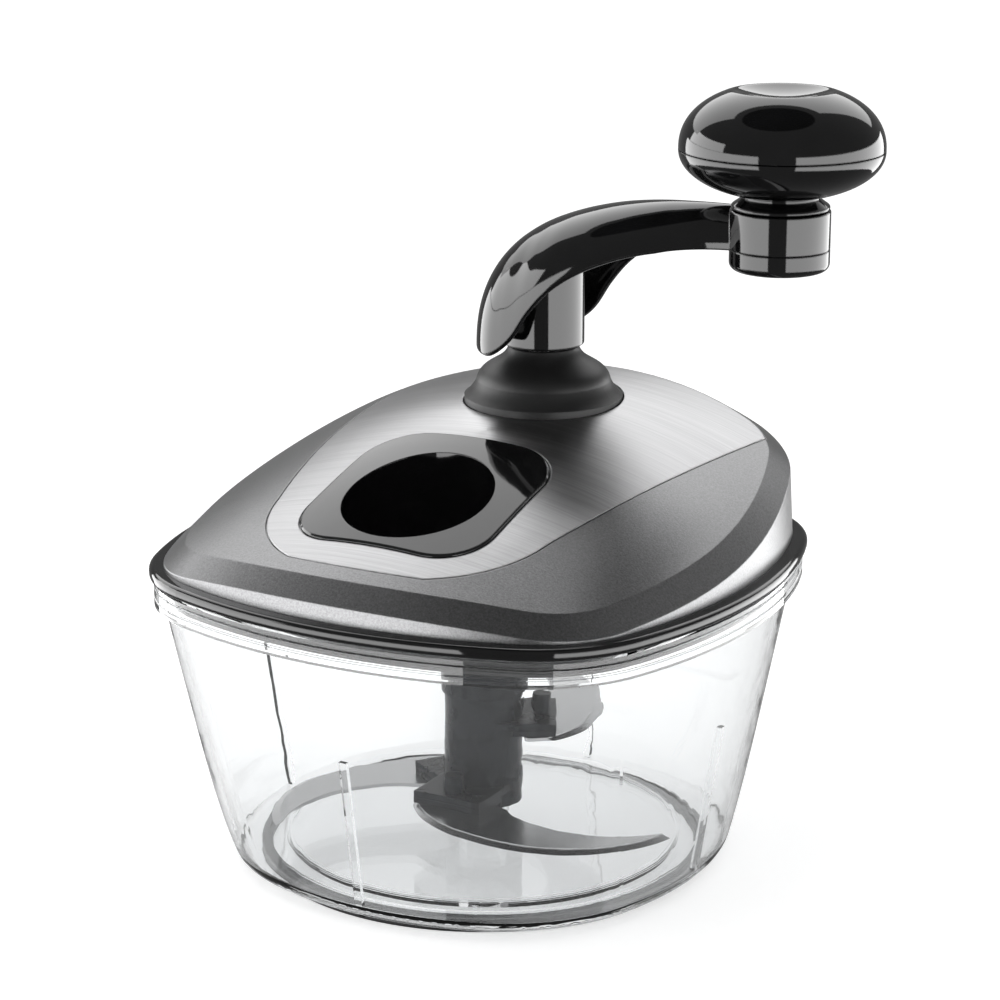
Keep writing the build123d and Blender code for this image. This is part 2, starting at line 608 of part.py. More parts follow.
export_step(bearing_tower.part, "parts/bearing_tower.step")

# ---------------------------------------------------------------- gear train
with BuildPart() as crank_gear:
    with BuildSketch(Plane.XY.offset(GEAR_Z)):
        with Locations((0, CRANK_Y)):
            add(gear_outline(CRANK_TEETH, -90))
            Circle(GEAR_RIM_RADIUS, mode=Mode.SUBTRACT)
    extrude(amount=GEAR_WIDTH)
    with BuildSketch(Plane.XY.offset(GEAR_Z + (GEAR_WIDTH - GEAR_WEB) / 2)):
        with Locations((0, CRANK_Y)):
            Circle(GEAR_RIM_RADIUS + 0.5)
            with PolarLocations((GEAR_RIM_RADIUS + GEAR_HUB_RADIUS) / 2, 6):
                Circle(GEAR_HOLE_RADIUS, mode=Mode.SUBTRACT)
    extrude(amount=GEAR_WEB)
    with BuildSketch(Plane.XY.offset(PLATE_TOP_Z + BOSS_HEIGHT + SLACK)):
        with Locations((0, CRANK_Y)):
            Circle(GEAR_HUB_RADIUS)
    extrude(amount=GEAR_TOP_Z + 2 - PLATE_TOP_Z - BOSS_HEIGHT - SLACK)
    with Locations((0, CRANK_Y, GEAR_Z)):
        Cylinder(SHAFT_RADIUS, 40, mode=Mode.SUBTRACT)
crank_gear.part.label = "crank_gear"
export_step(crank_gear.part, "parts/crank_gear.step")

with BuildPart() as output_pinion:
    with BuildSketch(Plane.XY.offset(GEAR_Z)):
        add(gear_outline(PINION_TEETH, 90 + 180 / PINION_TEETH))
    extrude(amount=GEAR_WIDTH)
    with BuildSketch(Plane.XY.offset(PLATE_TOP_Z + BOSS_HEIGHT + SLACK)):
        Circle(PINION_PITCH - 1.6 * GEAR_MODULE)
    extrude(amount=GEAR_Z - PLATE_TOP_Z - BOSS_HEIGHT - SLACK)
    with Locations((0, 0, GEAR_Z)):
        Cylinder(SHAFT_RADIUS, 40, mode=Mode.SUBTRACT)
output_pinion.part.label = "output_pinion"
export_step(output_pinion.part, "parts/output_pinion.step")

with BuildPart() as crank_shaft:
    with Locations((0, CRANK_Y, PLATE_TOP_Z + SLACK)):
        Cylinder(
            SHAFT_RADIUS, SHAFT_TOP_Z - PLATE_TOP_Z - SLACK, align=(Align.CENTER, Align.CENTER, Align.MIN)
        )
    chamfer(crank_shaft.faces().sort_by(Axis.Z)[-1].edges(), 0.6)
crank_shaft.part.label = "crank_shaft"
export_step(crank_shaft.part, "parts/crank_shaft.step")

with BuildPart() as output_shaft:
    with Locations((0, 0, DOG_BOTTOM_Z + DOG_CAP)):
        Cylinder(
            SHAFT_RADIUS, GEAR_TOP_Z + 2.4 - DOG_BOTTOM_Z - DOG_CAP,
            align=(Align.CENTER, Align.CENTER, Align.MIN),
        )
output_shaft.part.label = "output_shaft"
export_step(output_shaft.part, "parts/output_shaft.step")

with BuildPart() as drive_dog:
    with BuildSketch(Plane.XY.offset(DOG_BOTTOM_Z)):
        RegularPolygon(HEX_FLATS / 2 - SLACK / 2, 6, major_radius=False)
    extrude(amount=BASE_PLATE_Z - SLACK - DOG_BOTTOM_Z)
    chamfer(drive_dog.faces().sort_by(Axis.Z)[0].edges(), 0.8)
    with Locations((0, 0, DOG_BOTTOM_Z + DOG_CAP)):
        Cylinder(SHAFT_RADIUS, 40, align=(Align.CENTER, Align.CENTER, Align.MIN), mode=Mode.SUBTRACT)
drive_dog.part.label = "drive_dog"
export_step(drive_dog.part, "parts/drive_dog.step")


def circlip(name, place, bottom):
    """A spring ring that keeps a gear on its shaft."""
    with BuildPart() as clip:
        with BuildSketch(Plane.XY.offset(bottom)):
            with Locations(place):
                Circle(SHAFT_RADIUS + 2.0)
                Circle(SHAFT_RADIUS, mode=Mode.SUBTRACT)
                with Locations((SHAFT_RADIUS + 1, 0)):
                    Rectangle(4, 3, mode=Mode.SUBTRACT)
        extrude(amount=1.0)
    clip.part.label = name
    export_step(clip.part, f"parts/{name}.step")
    return clip.part


crank_gear_clip = circlip("crank_gear_clip", (0, CRANK_Y), GEAR_TOP_Z + 2)
pinion_clip = circlip("pinion_clip", (0, 0), GEAR_TOP_Z)

# ---------------------------------------------------------------- crank
# the arm's stations along X from the crank axis: distance, half width, crown height
ARM = (
    (ARM_BEND, ARM_HALF_WIDTH, ARM_BEND_Z),
    (26.0, 26.8, 211.2),
    (35.0, 22.5, 212.6),
    (44.0, 17.8, 213.5),
    (52.0, 14.0, 214.0),
    (60.0, 11.2, 214.3),
    (68.0, 9.5, 214.4),
    (CRANK_LENGTH, 8.6, 214.4),
)
ARM_VOID = (
    (ARM_BEND, ARM_HALF_WIDTH - ARM_WALL, ARM_BEND_Z - ARM_WALL),
    (26.0, 23.6, 207.4),
    (35.0, 18.6, 207.0),
    (44.0, 12.4, 203.8),
    (52.0, 8.0, 199.6),
)


def hood(wall):
    """Stations of the round hub end: half an ellipse in plan, falling to the back."""
    stations = []
    for turn in (80, 65, 47, 25, 0):
        back = (ARM_REAR - wall) * sin(radians(turn))
        half = (ARM_HALF_WIDTH - wall) * cos(radians(turn))
        rise = (HOOD_CROWN_Z - wall - HOOD_SPRING_Z) * cos(radians(turn))
        stations.append((-back, half, HOOD_SPRING_Z + rise - back * HOOD_FALL))
    return stations


def arch(stations, bottom):
    """A vault along X over the crank axis: round-topped sections joined smoothly."""
    with BuildPart() as vault:
        for along, half, crown in stations:
            section = Plane(origin=(along, CRANK_Y, 0), x_dir=(0, 1, 0), z_dir=(1, 0, 0))
            with BuildSketch(section):
                with BuildLine():
                    ThreePointArc((-half, crown - half), (0, crown), (half, crown - half))
                    Polyline((half, crown - half), (half, bottom), (-half, bottom), (-half, crown - half))
                make_face()
        loft()
    return vault.part


arm_void = arch([*hood(ARM_WALL), *ARM_VOID], ARM_SKIRT_Z - ARM_WALL)
arm_end = CRANK_LENGTH - EYE_RADIUS - 1
with BuildPart() as crank_arm:
    add(arch([*hood(0), *ARM], ARM_SKIRT_Z))
    # side profile: the hood's skirt hangs down beside the hub and sweeps up into the bar
    with BuildSketch(Plane.XZ.offset(-CRANK_Y)):
        with BuildLine():
            Spline(
                (-ARM_REAR - 1, SKIRT_Z + 2.6), (-14.0, SKIRT_Z + 0.8), (-6.0, SKIRT_Z), (-1.2, SKIRT_Z + 2.2),
                (3.0, 168.8), (7.0, 175.2), (12.0, 182.4), (19.3, 189.0), (30.7, 196.0), (41.0, 199.6),
                (54.0, 201.6), (arm_end, EYE_BOTTOM_Z), tangents=((1, -0.3), (1, 0)),
            )
            Polyline(
                (arm_end, EYE_BOTTOM_Z), (CRANK_LENGTH, EYE_BOTTOM_Z), (CRANK_LENGTH, ARM_ABOVE_Z),
                (-ARM_REAR - 1, ARM_ABOVE_Z), (-ARM_REAR - 1, SKIRT_Z + 2.6),
            )
        make_face()
    extrude(amount=2 * ARM_HALF_WIDTH, both=True, mode=Mode.INTERSECT)
    add(arm_void, mode=Mode.SUBTRACT)
    with Locations((CRANK_LENGTH, CRANK_Y, EYE_BOTTOM_Z)):
        Cylinder(
            EYE_RADIUS, EYE_TOP_Z - EYE_BOTTOM_Z, align=(Align.CENTER, Align.CENTER, Align.MIN)
        )
        Cylinder(
            KNOB_PIN_RADIUS, EYE_TOP_Z - EYE_BOTTOM_Z,
            align=(Align.CENTER, Align.CENTER, Align.MIN), mode=Mode.SUBTRACT,
        )
crank_arm.part.label = "crank_arm"
export_step(crank_arm.part, "parts/crank_arm.step")

with BuildPart() as hub_sleeve:
    with Locations((0, CRANK_Y, SLEEVE_BOTTOM_Z)):
        Cylinder(
            SLEEVE_RADIUS, ARM_ABOVE_Z - SLEEVE_BOTTOM_Z, align=(Align.CENTER, Align.CENTER, Align.MIN)
        )
    fillet(hub_sleeve.faces().sort_by(Axis.Z)[0].edges(), 0.8)
    add(arm_void, mode=Mode.INTERSECT)
    with Locations((0, CRANK_Y, SLEEVE_BOTTOM_Z)):
        Cylinder(
            SHAFT_RADIUS, SHAFT_TOP_Z - SLEEVE_BOTTOM_Z,
            align=(Align.CENTER, Align.CENTER, Align.MIN), mode=Mode.SUBTRACT,
        )
hub_sleeve.part.label = "hub_sleeve"
export_step(hub_sleeve.part, "parts/hub_sleeve.step")

with BuildPart() as eye_cap:
    with Locations((CRANK_LENGTH, CRANK_Y, EYE_BOTTOM_Z)):
        Cylinder(EYE_RADIUS, CAP_HEIGHT, align=(Align.CENTER, Align.CENTER, Align.MAX))
    fillet(eye_cap.faces().sort_by(Axis.Z)[0].edges(), 2.6)
    chamfer(eye_cap.faces().sort_by(Axis.Z)[-1].edges(), 0.3)
eye_cap.part.label = "eye_cap"
export_step(eye_cap.part, "parts/eye_cap.step")

with BuildPart() as knob_pin:
    with Locations((CRANK_LENGTH, CRANK_Y, EYE_BOTTOM_Z)):
        Cylinder(
            KNOB_PIN_RADIUS, KNOB_HEAD_Z - EYE_BOTTOM_Z, align=(Align.CENTER, Align.CENTER, Align.MIN)
        )
    with Locations((CRANK_LENGTH, CRANK_Y, KNOB_HEAD_Z)):
        Cylinder(KNOB_HEAD_RADIUS, KNOB_HEAD_HEIGHT, align=(Align.CENTER, Align.CENTER, Align.MIN))
knob_pin.part.label = "knob_pin"
export_step(knob_pin.part, "parts/knob_pin.step")

# ---------------------------------------------------------------- knob
knob_axis = Axis((CRANK_LENGTH, CRANK_Y, 0), (0, 0, 1))
knob_bore = KNOB_PIN_RADIUS + RUNNING
ring_bottom = EYE_TOP_Z + SLACK
ring_top = ring_bottom + COLLAR_RING_HEIGHT


step = KNOB_RADIUS - SEAM_LIP
head_room = KNOB_HEAD_RADIUS + 1


def belly(out, up):
    """A point of the lower half's profile, as shares of its radius and height."""
    return KNOB_RADIUS * out, KNOB_BOTTOM_Z + (KNOB_SEAM_Z - KNOB_BOTTOM_Z) * up


def crown(out, up):
    """A point of the upper half's profile, as shares of its radius and height."""
    return KNOB_RADIUS * out, KNOB_SEAM_Z + (KNOB_TOP_Z - KNOB_SEAM_Z) * up


def knob_plane():
    """Sketch plane whose origin is on the knob's axis."""
    return Plane(origin=(CRANK_LENGTH, CRANK_Y, 0), x_dir=(1, 0, 0), z_dir=(0, -1, 0))


with BuildPart() as knob_ring:
    with BuildSketch(knob_plane()):
        with BuildLine():
            Polyline((knob_bore, ring_top), (knob_bore, ring_bottom), (COLLAR_RING_RADIUS, ring_bottom))
            Line((COLLAR_RING_RADIUS, ring_bottom), (COLLAR_RING_RADIUS, ring_top - 1.6))
            ThreePointArc(
                (COLLAR_RING_RADIUS, ring_top - 1.6),
                (COLLAR_RING_RADIUS - 0.5, ring_top - 0.5),
                (COLLAR_RING_RADIUS - 1.6, ring_top),
            )
            Line((COLLAR_RING_RADIUS - 1.6, ring_top), (knob_bore, ring_top))
        make_face()
    revolve(axis=knob_axis)
knob_ring.part.label = "knob_ring"
export_step(knob_ring.part, "parts/knob_ring.step")

with BuildPart() as knob_lower:
    with BuildSketch(knob_plane()):
        with BuildLine():
            Polyline((knob_bore, KNOB_SEAM_Z), (knob_bore, ring_top), (KNOB_NECK_RADIUS, ring_top))
            Line((KNOB_NECK_RADIUS, ring_top), (KNOB_NECK_RADIUS, KNOB_BOTTOM_Z))
            Spline(
                (KNOB_NECK_RADIUS, KNOB_BOTTOM_Z), belly(0.57, 0.1), belly(0.76, 0.33), belly(0.87, 0.55),
                (KNOB_RADIUS, KNOB_SEAM_Z), tangents=((1, 0.12), (0.35, 1)),
            )
            Line((KNOB_RADIUS, KNOB_SEAM_Z), (knob_bore, KNOB_SEAM_Z))
        make_face()
    revolve(axis=knob_axis)
knob_lower.part.label = "knob_lower"
export_step(knob_lower.part, "parts/knob_lower.step")

with BuildPart() as knob_upper:
    with BuildSketch(knob_plane()):
        with BuildLine():
            Polyline(
                (0, KNOB_HEAD_Z + KNOB_HEAD_ROOM), (head_room, KNOB_HEAD_Z + KNOB_HEAD_ROOM),
                (head_room, KNOB_HEAD_Z - SLACK), (knob_bore, KNOB_HEAD_Z - SLACK), (knob_bore, KNOB_SEAM_Z),
                (step - SEAM_DEPTH, KNOB_SEAM_Z), (step - SEAM_DEPTH, KNOB_SEAM_Z + SEAM_LIP),
                (step, KNOB_SEAM_Z + SEAM_LIP),
            )
            Spline(
                (step, KNOB_SEAM_Z + SEAM_LIP), crown(0.99, 0.15), crown(0.93, 0.5), crown(0.78, 0.79),
                crown(DISH_SHARE, 1), tangents=((0.3, 1), (-1, 0.1)),
            )
            Spline(
                crown(DISH_SHARE, 1), (KNOB_RADIUS * DISH_SHARE * 0.6, KNOB_TOP_Z - DISH_DEPTH * 0.6),
                (0, KNOB_TOP_Z - DISH_DEPTH), tangents=((-1, -0.1), (-1, 0)),
            )
            Line((0, KNOB_TOP_Z - DISH_DEPTH), (0, KNOB_HEAD_Z + KNOB_HEAD_ROOM))
        make_face()
    revolve(axis=knob_axis)
knob_upper.part.label = "knob_upper"
export_step(knob_upper.part, "parts/knob_upper.step")

# ---------------------------------------------------------------- blade insert
with BuildPart() as spindle:
    with BuildSketch(Plane.XY.offset(TUBE_BOTTOM_Z)):
        Circle(TUBE_RADIUS)
    extrude(amount=TUBE_STEP_Z - TUBE_BOTTOM_Z)
    with BuildSketch(Plane.XY.offset(TUBE_STEP_Z)):
        Circle(TUBE_HEAD_RADIUS)
    extrude(amount=TUBE_TOP_Z - TUBE_STEP_Z)
    chamfer(spindle.faces().sort_by(Axis.Z)[-1].edges(), 1.0)
    for direction, top in BRACKETS:
        with BuildSketch(Plane((0, 0, top - BRACKET_PLATE)).rotated((0, 0, direction))):
            with Locations((BRACKET_REACH / 2, 0)):
                Rectangle(BRACKET_REACH, BRACKET_WIDTH)
        extrude(amount=BRACKET_PLATE)
        with BuildSketch(Plane((0, 0, top - BRACKET_PLATE)).rotated((0, 0, direction))):
            with Locations((BLADE_PIN_REACH, 0)):
                Circle(BLADE_PIN_SHANK)
        extrude(amount=BRACKET_PLATE, mode=Mode.SUBTRACT)
    # socket for the pivot pin below and for the hexagonal dog above
    with BuildSketch(Plane.XY.offset(TUBE_BOTTOM_Z)):
        Circle(PIN_RADIUS + RUNNING)
    extrude(amount=PIN_TOP_Z + SLACK - TUBE_BOTTOM_Z, mode=Mode.SUBTRACT)
    with BuildSketch(Plane.XY.offset(DOG_BOTTOM_Z - 1.0)):
        RegularPolygon(HEX_FLATS / 2, 6, major_radius=False)
    extrude(amount=TUBE_TOP_Z - DOG_BOTTOM_Z + 1.0, mode=Mode.SUBTRACT)
spindle.part.label = "spindle"
export_step(spindle.part, "parts/spindle.step")


def blade_outline(bevel):
    """Sickle shape along a bracket's local X; bevel moves the cutting edge inwards."""
    with BuildSketch() as outline:
        with BuildLine():
            Spline(
                (23.4 - bevel, -13.0), (36.1 - bevel, 2.0), (41.4 - bevel, 22.0),
                (38.6 - bevel, 46.0 - bevel * 0.4), (26.6 - bevel * 0.7, 62.6 - bevel * 0.7),
                (8.0, 72.0 - bevel),
            )
            Spline((8.0, 72.0 - bevel), (19.4, 54.6), (22.6, 38.0), (15.0, 16.6))
            Polyline(
                (15.0, 16.6), (TUBE_RADIUS + 0.6, 12.3), (TUBE_RADIUS + 0.6, -13.0), (23.4 - bevel, -13.0)
            )
        make_face()
    return outline.sketch


def blade_pieces(number, direction, top):
    """The clamp plate and the sickle blade under one bracket."""
    clamp_bottom = top - BRACKET_PLATE - CLAMP_PLATE
    blade_bottom = clamp_bottom - BLADE_THICKNESS
    with BuildPart() as clamp:
        with BuildSketch(Plane((0, 0, clamp_bottom)).rotated((0, 0, direction))):
            with Locations(((BRACKET_REACH + TUBE_RADIUS - 3) / 2, 0)):
                Rectangle(BRACKET_REACH - TUBE_RADIUS + 3, BRACKET_WIDTH)
            Circle(TUBE_RADIUS, mode=Mode.SUBTRACT)
            with Locations((BLADE_PIN_REACH, 0)):
                Circle(BLADE_PIN_SHANK, mode=Mode.SUBTRACT)
        extrude(amount=CLAMP_PLATE)
    clamp.part.label = f"blade_clamp_{number}"
    export_step(clamp.part, f"parts/blade_clamp_{number}.step")
    with BuildPart() as blade:
        with BuildSketch(Plane((0, 0, blade_bottom)).rotated((0, 0, direction))):
            add(blade_outline(0))
        with BuildSketch(Plane((0, 0, blade_bottom + BEVEL_RISE)).rotated((0, 0, direction))):
            add(blade_outline(BEVEL_WIDTH))
        loft(ruled=True)
        with BuildSketch(Plane((0, 0, blade_bottom + BEVEL_RISE)).rotated((0, 0, direction))):
            add(blade_outline(BEVEL_WIDTH))
        extrude(amount=BLADE_THICKNESS - BEVEL_RISE)
        with BuildSketch(Plane((0, 0, blade_bottom)).rotated((0, 0, direction))):
            with Locations((BLADE_PIN_REACH, 0)):
                Circle(BLADE_PIN_SHANK)
        extrude(amount=BLADE_THICKNESS, mode=Mode.SUBTRACT)
    blade.part.label = f"blade_{number}"
    export_step(blade.part, f"parts/blade_{number}.step")
    return clamp.part, blade.part


for number, (direction, top) in enumerate(BRACKETS, start=1):
    blade_pieces(number, direction, top)

with BuildPart() as blade_pins:
    for direction, top in BRACKETS:
        with Locations(Plane((0, 0, top)).rotated((0, 0, direction)) * Location((BLADE_PIN_REACH, 0, 0))):
            Cylinder(BLADE_PIN_RADIUS, BLADE_PIN_HEIGHT, align=(Align.CENTER, Align.CENTER, Align.MIN))
            Cylinder(
                BLADE_PIN_SHANK, BRACKET_PLATE + CLAMP_PLATE + BLADE_THICKNESS + 0.8,
                align=(Align.CENTER, Align.CENTER, Align.MAX),
            )
        bottom = top - BRACKET_PLATE - CLAMP_PLATE - BLADE_THICKNESS
        with Locations(Plane((0, 0, bottom)).rotated((0, 0, direction)) * Location((BLADE_PIN_REACH, 0, 0))):
            Cylinder(BLADE_PIN_RADIUS - 0.5, 0.9, align=(Align.CENTER, Align.CENTER, Align.MAX))
blade_pins.part.label = "blade_pins"
export_step(blade_pins.part, "parts/blade_pins.step")
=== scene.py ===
# %% [markdown]
# # A hand-cranked food chopper
#
# The construction of the chopper comes as a fixed frame: every solid piece stands where it belongs, and
# every moving piece hangs on a named body. This lesson gives it its looks. A clear bowl stands on a dark
# rubber foot, a metallic lid with a brushed steel shield closes it, and a glossy crank turns three blades
# inside.
#
# Shapes are written in millimetres, because that is how such an object is drawn, and the constant MM
# turns them into the metres that Blender works in. The finishes, the cards, the lamp and the camera are
# written in metres.

# %% Load the frame
import bpy
import bmesh
import math
import numpy as np
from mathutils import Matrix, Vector


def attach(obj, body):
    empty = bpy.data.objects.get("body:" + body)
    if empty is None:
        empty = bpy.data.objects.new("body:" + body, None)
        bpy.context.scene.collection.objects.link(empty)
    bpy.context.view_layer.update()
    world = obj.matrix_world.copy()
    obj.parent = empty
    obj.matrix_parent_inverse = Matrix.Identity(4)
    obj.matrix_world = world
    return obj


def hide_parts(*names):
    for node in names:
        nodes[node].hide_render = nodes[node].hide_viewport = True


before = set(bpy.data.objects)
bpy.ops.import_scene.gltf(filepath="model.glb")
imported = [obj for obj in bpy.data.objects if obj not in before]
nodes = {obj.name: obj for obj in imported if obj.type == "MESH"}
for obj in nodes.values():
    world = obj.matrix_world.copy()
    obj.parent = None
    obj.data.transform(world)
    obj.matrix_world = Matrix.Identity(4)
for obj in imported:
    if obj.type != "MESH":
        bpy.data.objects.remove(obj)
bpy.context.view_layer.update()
MM = 0.001

# %% [markdown]
# ## Shader maths as plain expressions
#
# A finish is easier to read as a formula than as a web of wires. The first class below wraps one socket.
# Adding or multiplying two of them puts a Math node into the material. Every other kind of node comes
# from `Finish.node`, which takes the node's settings first and the values of its sockets after them.


# %% The expression class
class Value:
    """One output socket of a material; the operators add Math nodes."""

    def __init__(self, finish, socket):
        self.finish = finish
        self.socket = socket

    def maths(self, operation, first, second, clamp=False):
        """Adds a Math node on two values or numbers."""
        return self.finish.node("ShaderNodeMath", {"operation": operation, "use_clamp": clamp}, first, second)

    def __add__(self, other):
        return self.maths("ADD", self, other)

    def __sub__(self, other):
        return self.maths("SUBTRACT", self, other)

    def __rsub__(self, other):
        return self.maths("SUBTRACT", other, self)

    def __mul__(self, other):
        return self.maths("MULTIPLY", self, other)

    __radd__ = __add__
    __rmul__ = __mul__

    def clamped(self):
        """The same value, kept between 0 and 1."""
        return self.maths("ADD", self, 0.0, clamp=True)


# %% The finish builder
NOISE_ENDS = (0.3, 0.7)    # most of a noise lies between these values
BEVEL_SAMPLES = 4


class Finish:
    """A node material with a Principled shader, built from expressions."""

    def __init__(self, name, **fixed):
        self.material = bpy.data.materials.new(name)
        self.material.use_nodes = True
        self.tree = self.material.node_tree
        self.tree.nodes.clear()
        self.output = self.tree.nodes.new("ShaderNodeOutputMaterial")
        self.shader = self.tree.nodes.new("ShaderNodeBsdfPrincipled")
        self.surface = Value(self, self.shader.outputs[0])
        self.show(self.surface)
        self.set(**fixed)

    def show(self, surface):
        """Connects a shader to the material's output."""
        self.feed(self.output.inputs["Surface"], surface)

    def node(self, kind, settings=None, *inputs, out=0, **named):
        """Adds a node: its settings first, then its sockets by place or by name."""
        made = self.tree.nodes.new(kind)
        for key, value in (settings or {}).items():
            if key == "stops":
                for element, (place, shade) in zip(made.color_ramp.elements, value):
                    element.position = place
                    element.color = (*shade, 1.0)
            else:
                setattr(made, key, value)
        for place, value in [*enumerate(inputs), *named.items()]:
            self.feed(made.inputs[place], value)
        return Value(self, made.outputs[out])

    def feed(self, socket, value):
        """Links a value to a socket, or sets the socket to a number, a vector or a colour."""
        if isinstance(value, Value):
            self.tree.links.new(value.socket, socket)
        elif socket.type == "RGBA":
            socket.default_value = (*value, 1.0)
        else:
            socket.default_value = value

    def set(self, **sockets):
        """Feeds the shader's sockets; underscores stand for the spaces in their names."""
        for name, value in sockets.items():
            self.feed(self.shader.inputs[name.replace("_", " ")], value)

    def place(self, scale=(1.0, 1.0, 1.0), turn=0.0, centre=(0.0, 0.0, 0.0)):
        """Object coordinates, moved to a centre, turned about Z and stretched."""
        here = self.node("ShaderNodeTexCoord", out="Object")
        moved = self.node("ShaderNodeVectorMath", {"operation": "SUBTRACT"}, here, centre)
        return self.node("ShaderNodeMapping", None, moved, Rotation=(0.0, 0.0, turn), Scale=scale)

    def noise(self, where, scale, detail=3.0, roughness=0.5):
        """A cloudy pattern; a larger scale makes it finer."""
        return self.node(
            "ShaderNodeTexNoise", None, Vector=where, Scale=scale, Detail=detail, Roughness=roughness
        )

    def shades(self, value, dark, light, ends=NOISE_ENDS):
        """A colour that runs from dark to light as a value rises from one end to the other."""
        return self.node("ShaderNodeValToRGB", {"stops": tuple(zip(ends, (dark, light)))}, value)

    def rounded_edges(self, radius):
        """A normal that turns smoothly over sharp edges, as if they had this radius."""
        return self.node("ShaderNodeBevel", {"samples": BEVEL_SAMPLES}, radius)

    def bumps(self, height, strength, distance, edge=None):
        """A normal that follows a height, over rounded edges where their radius is given."""
        bump = {"Height": height, "Strength": strength, "Distance": distance}
        if edge:
            bump["Normal"] = self.rounded_edges(edge)
        return self.node("ShaderNodeBump", None, **bump)


# %% [markdown]
# ## The lid's metal
#
# The lid's shell is moulded plastic in a metallic anthracite with a very fine sandy grain. The shield on
# top is sheet steel, brushed across in long fine scratches. Both could be painted as pictures, but noise
# on object coordinates needs no unwrapping and stays sharp close up: fine specks make the grain, and
# three noises stretched along one direction make the scratches.

# %% Satin shell
EDGE = 0.0006             # how soft the moulded edges look
SHEET_EDGE = 0.0007       # how soft the edge of the steel sheet looks
GRAIN_DEPTH = 0.0002      # how deep the grain of moulded plastic is
SCRATCH_DEPTH = 0.0001    # how deep the scratches in steel are


def satin_shell():
    finish = Finish("satin_shell", IOR=1.45, Metallic=0.9)
    grain = finish.noise(finish.place(), scale=1500.0, detail=2.0, roughness=0.6)
    flecks = finish.noise(finish.place(centre=(0.2, 0.1, 0.3)), scale=4200.0, detail=1.0, roughness=0.4)
    drift = finish.noise(finish.place(), scale=9.0, detail=2.0)
    mixed = grain * 0.55 + flecks * 0.3 + drift * 0.15
    finish.set(
        Base_Color=finish.shades(mixed, (0.15, 0.1505, 0.153), (0.25, 0.251, 0.254), ends=(0.35, 0.65)),
        Roughness=grain * 0.14 + 0.27,
        Normal=finish.bumps(grain + flecks * 0.5, strength=0.2, distance=GRAIN_DEPTH, edge=EDGE),
    )
    return finish.material


# %% Brushed steel
BRUSH_TURN = math.radians(-62.0)


def brushed_steel():
    finish = Finish("brushed_steel", Metallic=1.0)

    def streaks(along, across, detail, roughness=0.5):
        """Noise that is coarse along the brushing and fine across it."""
        where = finish.place(scale=(along, across, along), turn=BRUSH_TURN)
        return finish.noise(where, scale=1.0, detail=detail, roughness=roughness)

    lines = streaks(18.0, 1400.0, detail=5.0, roughness=0.62)
    fine = streaks(60.0, 5200.0, detail=3.0, roughness=0.6)
    broad = streaks(4.0, 60.0, detail=2.0)
    scratch = lines * 0.6 + fine * 0.4
    finish.set(
        Base_Color=finish.shades(scratch, (0.29, 0.29, 0.295), (0.46, 0.46, 0.465)),
        Roughness=scratch * 0.2 + broad * 0.06 + 0.2,
        Anisotropic=0.6,
        Normal=finish.bumps(scratch, strength=0.12, distance=SCRATCH_DEPTH, edge=SHEET_EDGE),
    )
    return finish.material


# %% [markdown]
# ## Black plastic and rubber
#
# The crank, the knob, the filler and the lid's rim are glossy black plastic that mirrors the studio as
# clean shapes. The bearing tower is the same plastic with a matte, eroded skin. The foot and the seal are
# rubber. One flat black would look like a hole in the picture, so every black changes a little in tone
# and in roughness.


# %% Glossy black plastic
def gloss_black():
    finish = Finish("gloss_black", IOR=1.5, Specular_IOR_Level=0.55)
    haze = finish.noise(finish.place(), scale=90.0, detail=4.0, roughness=0.6)
    finish.set(
        Base_Color=finish.shades(haze, (0.004, 0.004, 0.00412), (0.006, 0.006, 0.0064)),
        Roughness=haze * 0.03 + 0.035,
        Normal=finish.rounded_edges(EDGE),
    )
    return finish.material


# %% Matte black plastic
def matte_black():
    finish = Finish("matte_black", IOR=1.45)
    grain = finish.noise(finish.place(), scale=2600.0, roughness=0.6)
    cloud = finish.noise(finish.place(), scale=40.0)
    finish.set(
        Base_Color=finish.shades(grain * 0.6 + cloud * 0.4, (0.01, 0.01, 0.01), (0.018, 0.018, 0.0185)),
        Roughness=grain * 0.1 + 0.42,
        Normal=finish.bumps(grain, strength=0.1, distance=GRAIN_DEPTH, edge=EDGE),
    )
    return finish.material


# %% Rubber
def black_rubber():
    finish = Finish("black_rubber", IOR=1.45)
    grain = finish.noise(finish.place(), scale=1800.0, roughness=0.7)
    finish.set(
        Base_Color=finish.shades(grain, (0.008, 0.008, 0.009), (0.016, 0.016, 0.017)),
        Roughness=grain * 0.12 + 0.42,
        Normal=finish.bumps(grain, strength=0.15, distance=GRAIN_DEPTH, edge=EDGE),
    )
    return finish.material


# %% [markdown]
# ## What works inside the bowl and the lid
#
# The blade insert is a dark blue-grey plastic. The blades, shafts and screws are steel with faint lines,
# and the gears and bushes hidden inside the lid are pale bearing plastic. The insert and the blades are
# seen through a clear wall, so their grain is kept faint.


# %% Blue-grey plastic of the blade insert
def insert_plastic():
    finish = Finish("insert_plastic", IOR=1.5, Specular_IOR_Level=0.18)
    cloud = finish.noise(finish.place(), scale=70.0, detail=4.0, roughness=0.6)
    grain = finish.noise(finish.place(), scale=1500.0, detail=2.0)
    finish.set(
        Base_Color=finish.shades(cloud * 0.7 + grain * 0.3, (0.005, 0.006, 0.0085), (0.013, 0.0155, 0.021)),
        Roughness=cloud * 0.15 + 0.2,
        Normal=finish.bumps(grain, strength=0.06, distance=GRAIN_DEPTH, edge=EDGE),
    )
    return finish.material


# %% Blade steel and machined steel
STEEL_STRETCH = (900.0, 60.0, 900.0)    # the lines run along Y


